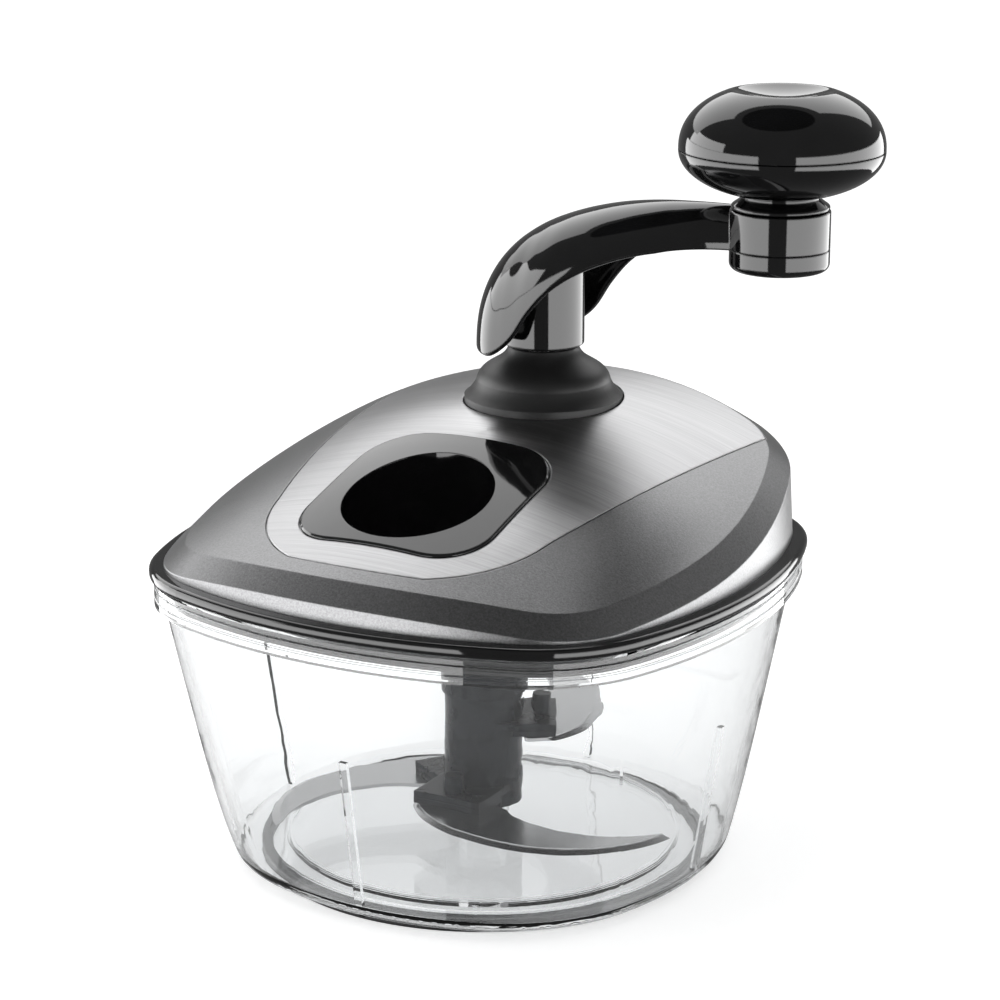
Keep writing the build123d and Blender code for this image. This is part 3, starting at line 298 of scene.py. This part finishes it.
def satin_steel(name, base, rough):
    finish = Finish(name, Metallic=1.0)
    lines = finish.noise(finish.place(scale=STEEL_STRETCH), scale=1.0, detail=4.0, roughness=0.6)
    finish.set(
        Base_Color=finish.shades(lines, (base * 0.95,) * 3, (base, base, base * 1.01)),
        Roughness=lines * 0.1 + rough,
        Normal=finish.bumps(lines, strength=0.02, distance=SCRATCH_DEPTH),
    )
    return finish.material


# %% Bearing plastic, hidden inside the lid
def bearing_plastic():
    finish = Finish("bearing_plastic", IOR=1.45)
    grain = finish.noise(finish.place(), scale=500.0)
    finish.set(
        Base_Color=finish.shades(grain, (0.55, 0.54, 0.5), (0.66, 0.65, 0.61)),
        Roughness=grain * 0.1 + 0.4,
    )
    return finish.material


# %% [markdown]
# ## The clear bowl
#
# The bowl bends light like the thick clear plastic it is. A thin see-through sheet would render faster,
# but the rim and the ribs would lose their dark and light lines. A bent ray rarely finds the lamp, so
# shadow rays alone pass straight through the wall, slightly dimmed.


# %% Clear bowl plastic
def clear_plastic():
    finish = Finish("clear_plastic", Transmission_Weight=1.0, IOR=1.49, Base_Color=(0.96, 0.968, 0.972))
    veil = finish.noise(finish.place(), scale=30.0)
    finish.set(Roughness=(veil * 0.02).clamped())
    shadow_ray = finish.node("ShaderNodeLightPath", out="Is Shadow Ray")
    straight = finish.node("ShaderNodeBsdfTransparent", None, (0.86, 0.87, 0.875))
    finish.show(finish.node("ShaderNodeMixShader", None, shadow_ray, finish.surface, straight))
    return finish.material


# %% Make the finishes
FINISHES = {
    "satin_shell": satin_shell(),
    "brushed_steel": brushed_steel(),
    "gloss_black": gloss_black(),
    "matte_black": matte_black(),
    "black_rubber": black_rubber(),
    "insert_plastic": insert_plastic(),
    "blade_steel": satin_steel("blade_steel", 0.5, 0.2),
    "machined_steel": satin_steel("machined_steel", 0.58, 0.25),
    "bearing_plastic": bearing_plastic(),
    "clear_plastic": clear_plastic(),
}
print("finishes:", ", ".join(FINISHES))

# %% [markdown]
# ## Which piece wears which finish
#
# A frame node keeps its shape and only gets a finish. One table from finish to nodes is easier to check
# than a line for each node, and its last line prints the nodes that it forgot. The pieces that this
# lesson makes itself wear the same finishes.

# %% Give each frame node its finish
WEARS = {
    "satin_shell": ("top_shell",),
    "brushed_steel": ("steel_cover",),
    "gloss_black": (
        "lid_base", "filler_cup", "hub_sleeve", "crank_arm", "eye_cap",
        "knob_ring", "knob_lower", "knob_upper",
    ),
    "matte_black": ("bearing_tower",),
    "black_rubber": ("foot_ring", "rim_seal"),
    "insert_plastic": (
        "spindle", "drive_dog", "blade_clamp_1", "blade_clamp_2", "blade_clamp_3", "blade_pins",
    ),
    "blade_steel": ("blade_1", "blade_2", "blade_3"),
    "machined_steel": (
        "pivot_pin", "crank_shaft", "output_shaft", "crank_gear_clip", "pinion_clip", "knob_pin",
        "lid_screws",
    ),
    "bearing_plastic": ("crank_gear", "output_pinion", "crank_upper_bush", "crank_lower_bush", "output_bush"),
    "clear_plastic": ("bowl",),
}
for finish_name, wearers in WEARS.items():
    for wearer in wearers:
        nodes[wearer].data.materials.clear()
        nodes[wearer].data.materials.append(FINISHES[finish_name])
print("nodes without a finish:", sorted(set(nodes) - {n for names in WEARS.values() for n in names}))

# %% [markdown]
# ## Surfaces from formulas
#
# The crank is what a hand and an eye follow, so its arm and knob are made here as smooth surfaces. They
# could be sculpted, or be boxes under a Subdivision Surface, but a formula gives the same form on every
# run and at its true size. Each surface is a grid of points, worked out from two parameters at once. A
# turned piece is a profile carried round an axis. One helper turns grids into a mesh, closes its seams
# and poles and makes its faces point outwards.

# %% From grids to a piece
CREASE = math.radians(35.0)    # edges that bend by more than this stay sharp
WELD = 2e-6                    # points closer than this become one
SLIVER = 1e-6                  # edges shorter than this are dissolved


def piece(name, grids, body, slot, stands_for):
    """Grids of points in millimetres, each closed along its columns, become one smooth closed mesh."""
    points, faces, first = [], [], 0
    for grid in grids:
        rows, columns = grid.shape[:2]
        points.append(grid.reshape(-1, 3) * MM)
        row, column = np.meshgrid(np.arange(rows - 1), np.arange(columns), indexing="ij")
        following = (column + 1) % columns
        corners = (row * columns + column, row * columns + following,
                   (row + 1) * columns + following, (row + 1) * columns + column)
        faces += (np.stack(corners, axis=-1).reshape(-1, 4) + first).tolist()
        if not np.allclose(grid[0], grid[-1]):    # a wall that doesn't close on itself gets a cap at each end
            last = first + (rows - 1) * columns
            faces += [list(range(first, first + columns)), list(range(last, last + columns))]
        first += rows * columns
    mesh = bpy.data.meshes.new(name)
    mesh.from_pydata(np.concatenate(points).tolist(), [], faces)
    work = bmesh.new()
    work.from_mesh(mesh)
    bmesh.ops.remove_doubles(work, verts=work.verts, dist=WELD)
    bmesh.ops.dissolve_degenerate(work, edges=work.edges, dist=SLIVER)
    bmesh.ops.recalc_face_normals(work, faces=work.faces)
    work.to_mesh(mesh)
    work.free()
    mesh.shade_smooth()
    mesh.set_sharp_from_angle(angle=CREASE)
    mesh.materials.append(FINISHES[slot])
    made = bpy.data.objects.new(name, mesh)
    bpy.context.scene.collection.objects.link(made)
    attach(made, body)
    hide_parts(*stands_for)
    print(name, len(mesh.polygons), "faces")


# %% Smooth lines, turned walls and rounded corners
CORNER_STEPS = 6
SIDE_SHARE = 0.45    # a rounded corner takes no more than this share of the side next to it


def through(stations, steps):
    """A smooth line through stations: cubics between neighbours, each slope the mean of its two sides."""
    stations = np.asarray(stations, dtype=float)
    at = np.linspace(0.0, len(stations) - 1.0, steps)
    before = np.minimum(at.astype(int), len(stations) - 2)
    part = (at - before)[:, None]
    slope = np.gradient(stations, axis=0)
    return (
        (2 * part**3 - 3 * part**2 + 1) * stations[before]
        + (part**3 - 2 * part**2 + part) * slope[before]
        + (3 * part**2 - 2 * part**3) * stations[before + 1]
        + (part**3 - part**2) * slope[before + 1]
    )


def turned(profile, centre, around=160):
    """A profile of (radius, height) carried round an upright axis: x = r cos a, y = r sin a, z = height."""
    angle = np.linspace(0.0, 2.0 * np.pi, around, endpoint=False)
    radius, height = profile[:, 0, None], profile[:, 1, None]
    x, y = centre[0] + radius * np.cos(angle), centre[1] + radius * np.sin(angle)
    return np.stack([x, y, height + 0.0 * angle], axis=-1)


def eased(profile, radius):
    """The profile with each inner corner rounded, from this far before it to this far after it.

    The curve is (1 - t)^2 start + 2t (1 - t) corner + t^2 end, with t from 0 to 1.
    """
    profile = np.asarray(profile, dtype=float)
    part = np.linspace(0.0, 1.0, CORNER_STEPS)[:, None]
    rounded = [profile[:1]]
    for before, corner, after in zip(profile[:-2], profile[1:-1], profile[2:]):
        reach = [min(radius, SIDE_SHARE * np.linalg.norm(side - corner)) for side in (before, after)]
        start = corner + (before - corner) * reach[0] / np.linalg.norm(before - corner)
        end = corner + (after - corner) * reach[1] / np.linalg.norm(after - corner)
        rounded.append((1 - part) ** 2 * start + 2 * part * (1 - part) * corner + part**2 * end)
    return np.concatenate([*rounded, profile[-1:]])


def closed_ring(profile):
    """Repeats the profile's first point at its end, so that the turned wall closes on itself."""
    return np.concatenate([profile, profile[:1]])


# %% [markdown]
# ## The foot
#
# The bowl stands on a slim black rubber ring under its clear base. Seen through the bowl it is only a
# dark line, so it is a narrow turned band with soft edges.

# %% The foot ring
FOOT_OUTER, FOOT_INNER, FOOT_TOP, FOOT_EASE, FOOT_AROUND = 73.0, 69.6, 2.5, 0.6, 240
foot_corners = (
    (FOOT_INNER, FOOT_TOP), (FOOT_INNER, 0.0), (FOOT_OUTER, 0.0), (FOOT_OUTER, FOOT_TOP),
    (FOOT_INNER, FOOT_TOP),
)
foot_wall = turned(eased(foot_corners, FOOT_EASE), (0.0, 0.0), FOOT_AROUND)
piece("foot_band", [foot_wall], "base", "black_rubber", ["foot_ring"])

# %% [markdown]
# ## The crank arm
#
# The real arm is one moulding: a hollow hood over the hub that narrows into a bar and ends in a round
# eye. It could be carved out of a block, but the hood's thin lip is easier to steer as numbers along the
# arm. Every cut across it is an arch, so the surface is a row of arches whose width, crown and lower edge
# follow smooth lines. Behind the hub the arches shrink like the slices of a dome. A smaller row of
# arches, a wall's thickness further in, is the hood's inside, and a half round lip joins the two along
# the edge.

# %% The lines that the arches follow
CRANK_CENTRE = np.array([0.0, 40.0])
CRANK_LENGTH = 84.0
# along the arm, half width, crown, lower edge, wall, roof
ARCHES = (
    (-18.8, 0.0, 165.8, 164.8, 1.5, 3.0),
    (-18.2, 7.8, 174.0, 164.7, 2.2, 3.0),
    (-16.3, 15.0, 181.6, 164.4, 3.0, 3.0),
    (-13.3, 21.2, 188.1, 164.0, 3.0, 3.0),
    (-9.4, 26.0, 193.7, 163.6, 3.0, 3.0),
    (-4.9, 29.0, 198.2, 163.9, 3.0, 3.0),
    (0.0, 30.0, 201.7, 166.6, 3.0, 3.0),
    (4.5, 30.2, 204.2, 171.0, 3.0, 3.0),
    (10.0, 30.0, 206.5, 179.2, 3.0, 3.0),
    (17.0, 29.2, 208.8, 187.0, 3.0, 3.0),
    (26.0, 26.6, 211.0, 193.2, 3.0, 3.8),
    (35.0, 22.5, 212.5, 197.2, 3.0, 6.0),
    (44.0, 18.0, 213.5, 199.7, 3.0, 10.0),
    (52.0, 14.4, 214.0, 200.9, 1.6, 13.1),
    (60.0, 11.6, 214.3, 201.6, 1.2, 12.7),
    (68.0, 9.8, 214.4, 201.9, 1.0, 12.5),
    (76.0, 8.9, 214.4, 202.0, 1.0, 12.4),
    (CRANK_LENGTH, 8.6, 214.4, 202.0, 1.0, 12.4),
)
HOOD_SQUARE, BAR_SQUARE = 2.25, 1.85    # exponents of the arches: a larger one has straighter sides
BAR_BEGINS = 50.0                       # from here on along the arm the exponent is the bar's
HOOD_REACH, HOOD_HALF, HOOD_WALL = 18.8, 30.0, 3.0    # how far back behind the hub, half width, wall
LIP_DROP, LIP_STEPS = 1.2, 7            # the most that the lip hangs below the edge
ARM_LIFT = 0.5                          # the whole arm is raised by this
ARM_ROWS, ARCH_STEPS = 150, 56
print("the arm's crown rises from", ARCHES[0][2], "to", ARCHES[-1][2], "mm")


# %% The arm's surface
def arch_row(along, half, crown, edge, square, angle):
    """Arches: y = half cos(a)^(2/square), z = edge + (crown - edge) sin(a)^(2/square), a from 0 to pi."""
    power = 2.0 / square[:, None]
    across = np.sign(np.cos(angle)) * np.abs(np.cos(angle)) ** power
    up = np.abs(np.sin(angle)) ** power
    height = edge[:, None] + (crown - edge)[:, None] * up
    return np.stack([along[:, None] + 0.0 * across, half[:, None] * across, height], axis=-1)


def lip(outer, inner, drop):
    """A half round from the outer edge to the inner one: middle + half the way cos a - drop sin a."""
    angle = np.linspace(0.0, np.pi, LIP_STEPS + 2)[1:-1, None]
    middle, half = (outer + inner)[:, None] / 2, (outer - inner)[:, None] / 2
    down = np.array([0.0, 0.0, -1.0]) * drop[:, None, None]
    return middle + half * np.cos(angle) + down * np.sin(angle)


def arm_grid():
    """Each row is one closed loop: the outer arch, a lip, the inner arch backwards and the other lip.

    The inner arch is lower by the roof and narrower by the wall. Behind the hub its width and its place
    along the arm shrink in proportion: half (1 - wall / hood half), along (reach - hood wall) / reach.
    """
    along, half, crown, edge, wall, roof = through(ARCHES, ARM_ROWS).T
    half = np.maximum(half, 0.0)
    square = HOOD_SQUARE + (BAR_SQUARE - HOOD_SQUARE) * np.clip(along / BAR_BEGINS, 0.0, 1.0)
    angle = np.linspace(0.0, np.pi, ARCH_STEPS)
    outer = arch_row(along, half, np.maximum(crown, edge), edge, square, angle)
    behind = along < 0
    inner_half = np.where(behind, half * (1.0 - wall / HOOD_HALF), half - wall)
    inner_along = np.where(behind, along * (HOOD_REACH - HOOD_WALL) / HOOD_REACH, along)
    inner = arch_row(inner_along, inner_half, np.maximum(crown - roof, edge), edge, square, angle)
    drop = np.minimum(wall / 2.0, LIP_DROP)
    loops = (
        outer, lip(outer[:, -1], inner[:, -1], drop), inner[:, ::-1], lip(inner[:, 0], outer[:, 0], drop),
    )
    return np.concatenate(loops, axis=1) + np.array([*CRANK_CENTRE, ARM_LIFT])


# %% The arm with its eye
EYE_RADIUS, EYE_BOTTOM, EYE_TOP, PIN_RADIUS = 15.8, 202.6, 214.7, 4.08
EYE_RIM, EYE_EASE = 2.0, 0.4
EYE_CENTRE = CRANK_CENTRE + (CRANK_LENGTH, 0.0)
eye_profile = eased(
    (
        (PIN_RADIUS, EYE_BOTTOM), (EYE_RADIUS, EYE_BOTTOM), (EYE_RADIUS, EYE_TOP),
        (EYE_RADIUS - EYE_RIM, EYE_TOP), (PIN_RADIUS, EYE_TOP),
    ),
    EYE_EASE,
)
arm_and_eye = [arm_grid(), turned(closed_ring(eye_profile), EYE_CENTRE)]
piece("crank_arm_skin", arm_and_eye, "crank", "gloss_black", ["crank_arm"])

# %% [markdown]
# ## The knob
#
# The knob is turned in two halves that meet at a thin seam. A squashed sphere would be too sharp at its
# rim, so both halves follow a rounded square, a curve between an ellipse and a box. The top is dished:
# the profile takes the lower of the crown and a shallow bowl, and a soft minimum rounds the rim where
# they meet.

# %% The knob's measures
KNOB_RADIUS, KNOB_SEAM, KNOB_BOTTOM, KNOB_TOP, KNOB_AROUND = 32.2, 233.6, 219.4, 251.6, 200
CROWN_SQUARE, BELLY_SQUARE = 2.2, 2.05    # exponents of the two rounded squares
CROWN_STEPS, BELLY_STEPS = 140, 90
DISH_RADIUS, DISH_DEPTH, DISH_SOFTNESS = 15.6, 2.4, 0.28
RIM_RAISE = 0.2                           # crown and dish meet higher by what the soft minimum takes off
NECK_RADIUS, RING_TOP, RING_BOTTOM = 12.2, 218.5, 215.1
PIN_ROOM, PIN_ROOM_LOW, PIN_ROOM_HIGH = 8.0, 236.2, 242.6
SEAM = 0.35                               # the height of the groove between the halves
SEAM_LEDGE, SEAM_SHOULDER, SHOULDER_DROP = 1.0, 1.4, 0.3    # the groove's depth, and the corner at its bottom
print("the knob is", 2 * KNOB_RADIUS, "mm across and", round(KNOB_TOP - KNOB_BOTTOM, 1), "mm high")


# %% The two halves of the knob
def rounded_square(width, height, square, steps):
    """r = width cos(a)^(2/square), z = height sin(a)^(2/square), a from 0 to 90 degrees."""
    angle = np.radians(np.linspace(0.0, 90.0, steps))
    power = 2.0 / square
    return width * np.clip(np.cos(angle), 0.0, 1.0) ** power, height * np.sin(angle) ** power


def height_at(radius, square):
    """The height of a rounded square of height 1 at a radius: (1 - (r/R)^square)^(1/square)."""
    return (1.0 - (radius / KNOB_RADIUS) ** square) ** (1.0 / square)


def crown_profile():
    """The lower of the crown and the dish, as a soft minimum: -k log(exp(-crown/k) + exp(-dish/k))."""
    top = KNOB_TOP - KNOB_SEAM
    full_height = (top + RIM_RAISE) / height_at(DISH_RADIUS, CROWN_SQUARE)
    radius, crown = rounded_square(KNOB_RADIUS, full_height, CROWN_SQUARE, CROWN_STEPS)
    dish = top - DISH_DEPTH + (DISH_DEPTH + RIM_RAISE) * (radius / DISH_RADIUS) ** 2
    rise = -DISH_SOFTNESS * np.logaddexp(-crown / DISH_SOFTNESS, -dish / DISH_SOFTNESS)
    outside = np.stack([radius, KNOB_SEAM + SEAM + np.maximum(rise, 0.0)], axis=-1)[::-1]
    ledge, shoulder = KNOB_RADIUS - SEAM_LEDGE, KNOB_RADIUS - SEAM_SHOULDER
    inside = (
        (ledge, KNOB_SEAM + SEAM), (shoulder, KNOB_SEAM + SEAM - SHOULDER_DROP), (shoulder, KNOB_SEAM),
        (PIN_RADIUS, KNOB_SEAM), (PIN_RADIUS, PIN_ROOM_LOW), (PIN_ROOM, PIN_ROOM_LOW),
        (PIN_ROOM, PIN_ROOM_HIGH), (0.0, PIN_ROOM_HIGH),
    )
    return np.concatenate([outside, inside])


def belly_profile():
    """The rounded square down from the seam, as far in as the neck: z = seam - height sin(a)^(2/square)."""
    full_height = (KNOB_SEAM - KNOB_BOTTOM) / height_at(NECK_RADIUS, BELLY_SQUARE)
    radius, fall = rounded_square(KNOB_RADIUS, full_height, BELLY_SQUARE, BELLY_STEPS)
    kept = radius > NECK_RADIUS
    outside = np.stack([radius[kept], KNOB_SEAM - fall[kept]], axis=-1)
    inside = (
        (NECK_RADIUS, KNOB_BOTTOM), (NECK_RADIUS, RING_TOP), (PIN_RADIUS, RING_TOP), (PIN_RADIUS, KNOB_SEAM),
    )
    return closed_ring(np.concatenate([outside, inside]))


crown_wall = turned(crown_profile(), EYE_CENTRE, KNOB_AROUND)
belly_wall = turned(belly_profile(), EYE_CENTRE, KNOB_AROUND)
piece("knob_crown", [crown_wall], "knob", "gloss_black", ["knob_upper"])
piece("knob_belly", [belly_wall], "knob", "gloss_black", ["knob_lower"])

# %% The ring under the knob: a low cone with rounded edges
FLANGE_LOW, FLANGE_HIGH, FLANGE_HEIGHT = 15.4, 15.5, 1.1
RING_BEVEL_ACROSS, RING_BEVEL_DOWN, RING_EASE = 0.6, 0.4, 0.6
ring_profile = eased(
    (
        (PIN_RADIUS, RING_BOTTOM), (FLANGE_LOW, RING_BOTTOM), (FLANGE_HIGH, RING_BOTTOM + FLANGE_HEIGHT),
        (NECK_RADIUS + RING_BEVEL_ACROSS, RING_TOP - RING_BEVEL_DOWN), (NECK_RADIUS, RING_TOP),
        (PIN_RADIUS, RING_TOP),
    ),
    RING_EASE,
)
piece("knob_shim", [turned(closed_ring(ring_profile), EYE_CENTRE)], "knob", "gloss_black", ["knob_ring"])

# %% [markdown]
# ## The floor
#
# The chopper stands on a white floor. It glows a little for the camera and through clear plastic, so that
# it meets the white surroundings without a line. Glossy surfaces don't see it.

# %% Floor
FLOOR_HALF, FLOOR_GLOW = 6.0, 0.5


def floor():
    mesh = bpy.data.meshes.new("floor")
    corners = [(x * FLOOR_HALF, y * FLOOR_HALF, 0) for x, y in ((-1, -1), (1, -1), (1, 1), (-1, 1))]
    mesh.from_pydata(corners, [], [(0, 1, 2, 3)])
    ground = bpy.data.objects.new("floor", mesh)
    bpy.context.scene.collection.objects.link(ground)
    ground.visible_glossy = False
    finish = Finish("white_floor", Base_Color=(0.82, 0.82, 0.82), Roughness=0.9, Specular_IOR_Level=0.0)
    camera_ray, clear_ray = (
        finish.node("ShaderNodeLightPath", out=kind) for kind in ("Is Camera Ray", "Is Transmission Ray")
    )
    seen = (camera_ray + clear_ray).clamped()
    glow = finish.node("ShaderNodeEmission", None, (1.0, 1.0, 1.0), seen * FLOOR_GLOW)
    finish.show(finish.node("ShaderNodeAddShader", None, finish.surface, glow))
    mesh.materials.append(finish.material)


floor()
print("floor:", 2 * FLOOR_HALF, "m wide")

# %% [markdown]
# ## The surroundings
#
# The world is white to the eye and through clear plastic, a soft light for matte surfaces, and dim in
# reflections, where the cards of the next step take its place.

# %% World
SEEN, MIRRORED, LIT = 1.0, 0.2, 0.72
world = bpy.data.worlds.new("studio")
bpy.context.scene.world = world
world.use_nodes = True
sky = world.node_tree
sky.nodes.clear()
path = sky.nodes.new("ShaderNodeLightPath")


def pick(switch, otherwise, chosen):
    """A Mix node that gives one number where a light path switch is on, and another where it is off."""
    choice = sky.nodes.new("ShaderNodeMix")
    sky.links.new(path.outputs[switch], choice.inputs["Factor"])
    for socket, value in ((choice.inputs["A"], otherwise), (choice.inputs["B"], chosen)):
        if isinstance(value, float):
            socket.default_value = value
        else:
            sky.links.new(value, socket)
    return choice.outputs["Result"]


shown = pick("Is Camera Ray", pick("Is Transmission Ray", pick("Is Glossy Ray", LIT, MIRRORED), SEEN), SEEN)
background = sky.nodes.new("ShaderNodeBackground")
background.inputs["Color"].default_value = (1.0, 1.0, 1.0, 1.0)
sky.links.new(shown, background.inputs["Strength"])
sky.links.new(background.outputs[0], sky.nodes.new("ShaderNodeOutputWorld").inputs["Surface"])
print("world seen, mirrored, lit:", SEEN, MIRRORED, LIT)

# %% [markdown]
# ## Cards to mirror
#
# What gives glossy black plastic its shape is what it mirrors, so the studio is mostly a set of bright
# cards: a wide one behind and above, which the tops mirror, and one each side, which the upright faces
# mirror, with a dark gap between them. Lamps in their places would light everything else as well. The
# cards are patches of a sphere round the chopper, and only glossy surfaces see them.

# %% Bright and dark cards
CARD_DISTANCE = 1.6
CARD_CENTRE = np.array([0.0, 0.0, 0.16])
CARD_COLUMNS, CARD_ROWS = 25, 13
TOWARDS_CAMERA = np.array([0.5, -0.866, 0.0])
TO_THE_RIGHT = np.array([0.866, 0.5, 0.0])
UP = np.array([0.0, 0.0, 1.0])


def card(name, turns, heights, radiance):
    """A patch of a sphere: turns run from the camera's side to the right, heights are elevations.

    The point at turn t and height h lies in the direction cos h (cos t camera + sin t right) + sin h up.
    """
    turn, height = np.meshgrid(
        np.radians(np.linspace(*turns, CARD_COLUMNS)), np.radians(np.linspace(*heights, CARD_ROWS))
    )
    level = np.cos(turn)[..., None] * TOWARDS_CAMERA + np.sin(turn)[..., None] * TO_THE_RIGHT
    way = np.cos(height)[..., None] * level + np.sin(height)[..., None] * UP
    points = (CARD_CENTRE + CARD_DISTANCE * way).reshape(-1, 3)
    first = (np.arange(CARD_ROWS - 1)[:, None] * CARD_COLUMNS + np.arange(CARD_COLUMNS - 1)).ravel()
    faces = np.stack([first, first + 1, first + CARD_COLUMNS + 1, first + CARD_COLUMNS], axis=1)
    mesh = bpy.data.meshes.new(name)
    mesh.from_pydata(points.tolist(), [], faces.tolist())
    board = bpy.data.objects.new(name, mesh)
    bpy.context.scene.collection.objects.link(board)
    board.visible_camera = board.visible_diffuse = board.visible_transmission = board.visible_shadow = False
    finish = Finish(name)
    finish.show(finish.node("ShaderNodeEmission", None, (1.0, 1.0, 1.0), radiance))
    mesh.materials.append(finish.material)
    print(name, "turns", turns, "heights", heights, "radiance", radiance)


card("back_card", (128.0, 236.0), (19.0, 60.0), 2.4)
card("left_card", (-140.0, -28.0), (-24.0, 7.0), 5.0)
card("left_card_top", (-132.0, -72.0), (7.5, 24.0), 5.0)
card("right_card", (13.0, 140.0), (-24.0, 7.0), 5.0)
card("dark_ceiling", (0.0, 360.0), (66.0, 90.0), 0.0)

# %% [markdown]
# ## A lamp and the camera
#
# One plain soft lamp overhead helps the white surroundings to light the matte surfaces. The camera is the
# one that was solved from the outlines of the rim, the bowl and the foot.


# %% A plain soft lamp for the matte surfaces
def soft_box(name, place, aim, width, height, radiance):
    """A rectangular lamp; radiance is how bright its face looks."""
    lamp = bpy.data.lights.new(name, "AREA")
    lamp.shape = "RECTANGLE"
    lamp.size = width
    lamp.size_y = height
    lamp.energy = radiance * math.pi * width * height
    stand = bpy.data.objects.new(name, lamp)
    stand.location = place
    stand.rotation_mode = "QUATERNION"
    stand.rotation_quaternion = (Vector(aim) - Vector(place)).to_track_quat("-Z", "Y")
    stand.visible_camera = False
    stand.visible_glossy = False
    bpy.context.scene.collection.objects.link(stand)
    print(name, "lamp:", round(lamp.energy, 2), "W")


soft_box("overhead", place=(-0.3, -0.2, 1.2), aim=(0.0, 0.0, 0.1), width=0.9, height=0.7, radiance=1.6)

# %% Camera
SENSOR_WIDTH, FOCAL_LENGTH = 36.0, 110.4
CAMERA_PLACE = (0.475, -0.8227, 0.3908)
LOOKING_DOWN, TURNED = 15.987, 29.674    # degrees
lens = bpy.data.cameras.new("photo_view")
lens.sensor_width = SENSOR_WIDTH
lens.lens = FOCAL_LENGTH
camera = bpy.data.objects.new("photo_view", lens)
camera.location = CAMERA_PLACE
camera.rotation_euler = (math.radians(90.0 - LOOKING_DOWN), 0.0, math.radians(TURNED))
bpy.context.scene.collection.objects.link(camera)
bpy.context.scene.camera = camera
bpy.context.scene.view_settings.view_transform = "Standard"
print("camera at", CAMERA_PLACE, "looking", LOOKING_DOWN, "degrees down")
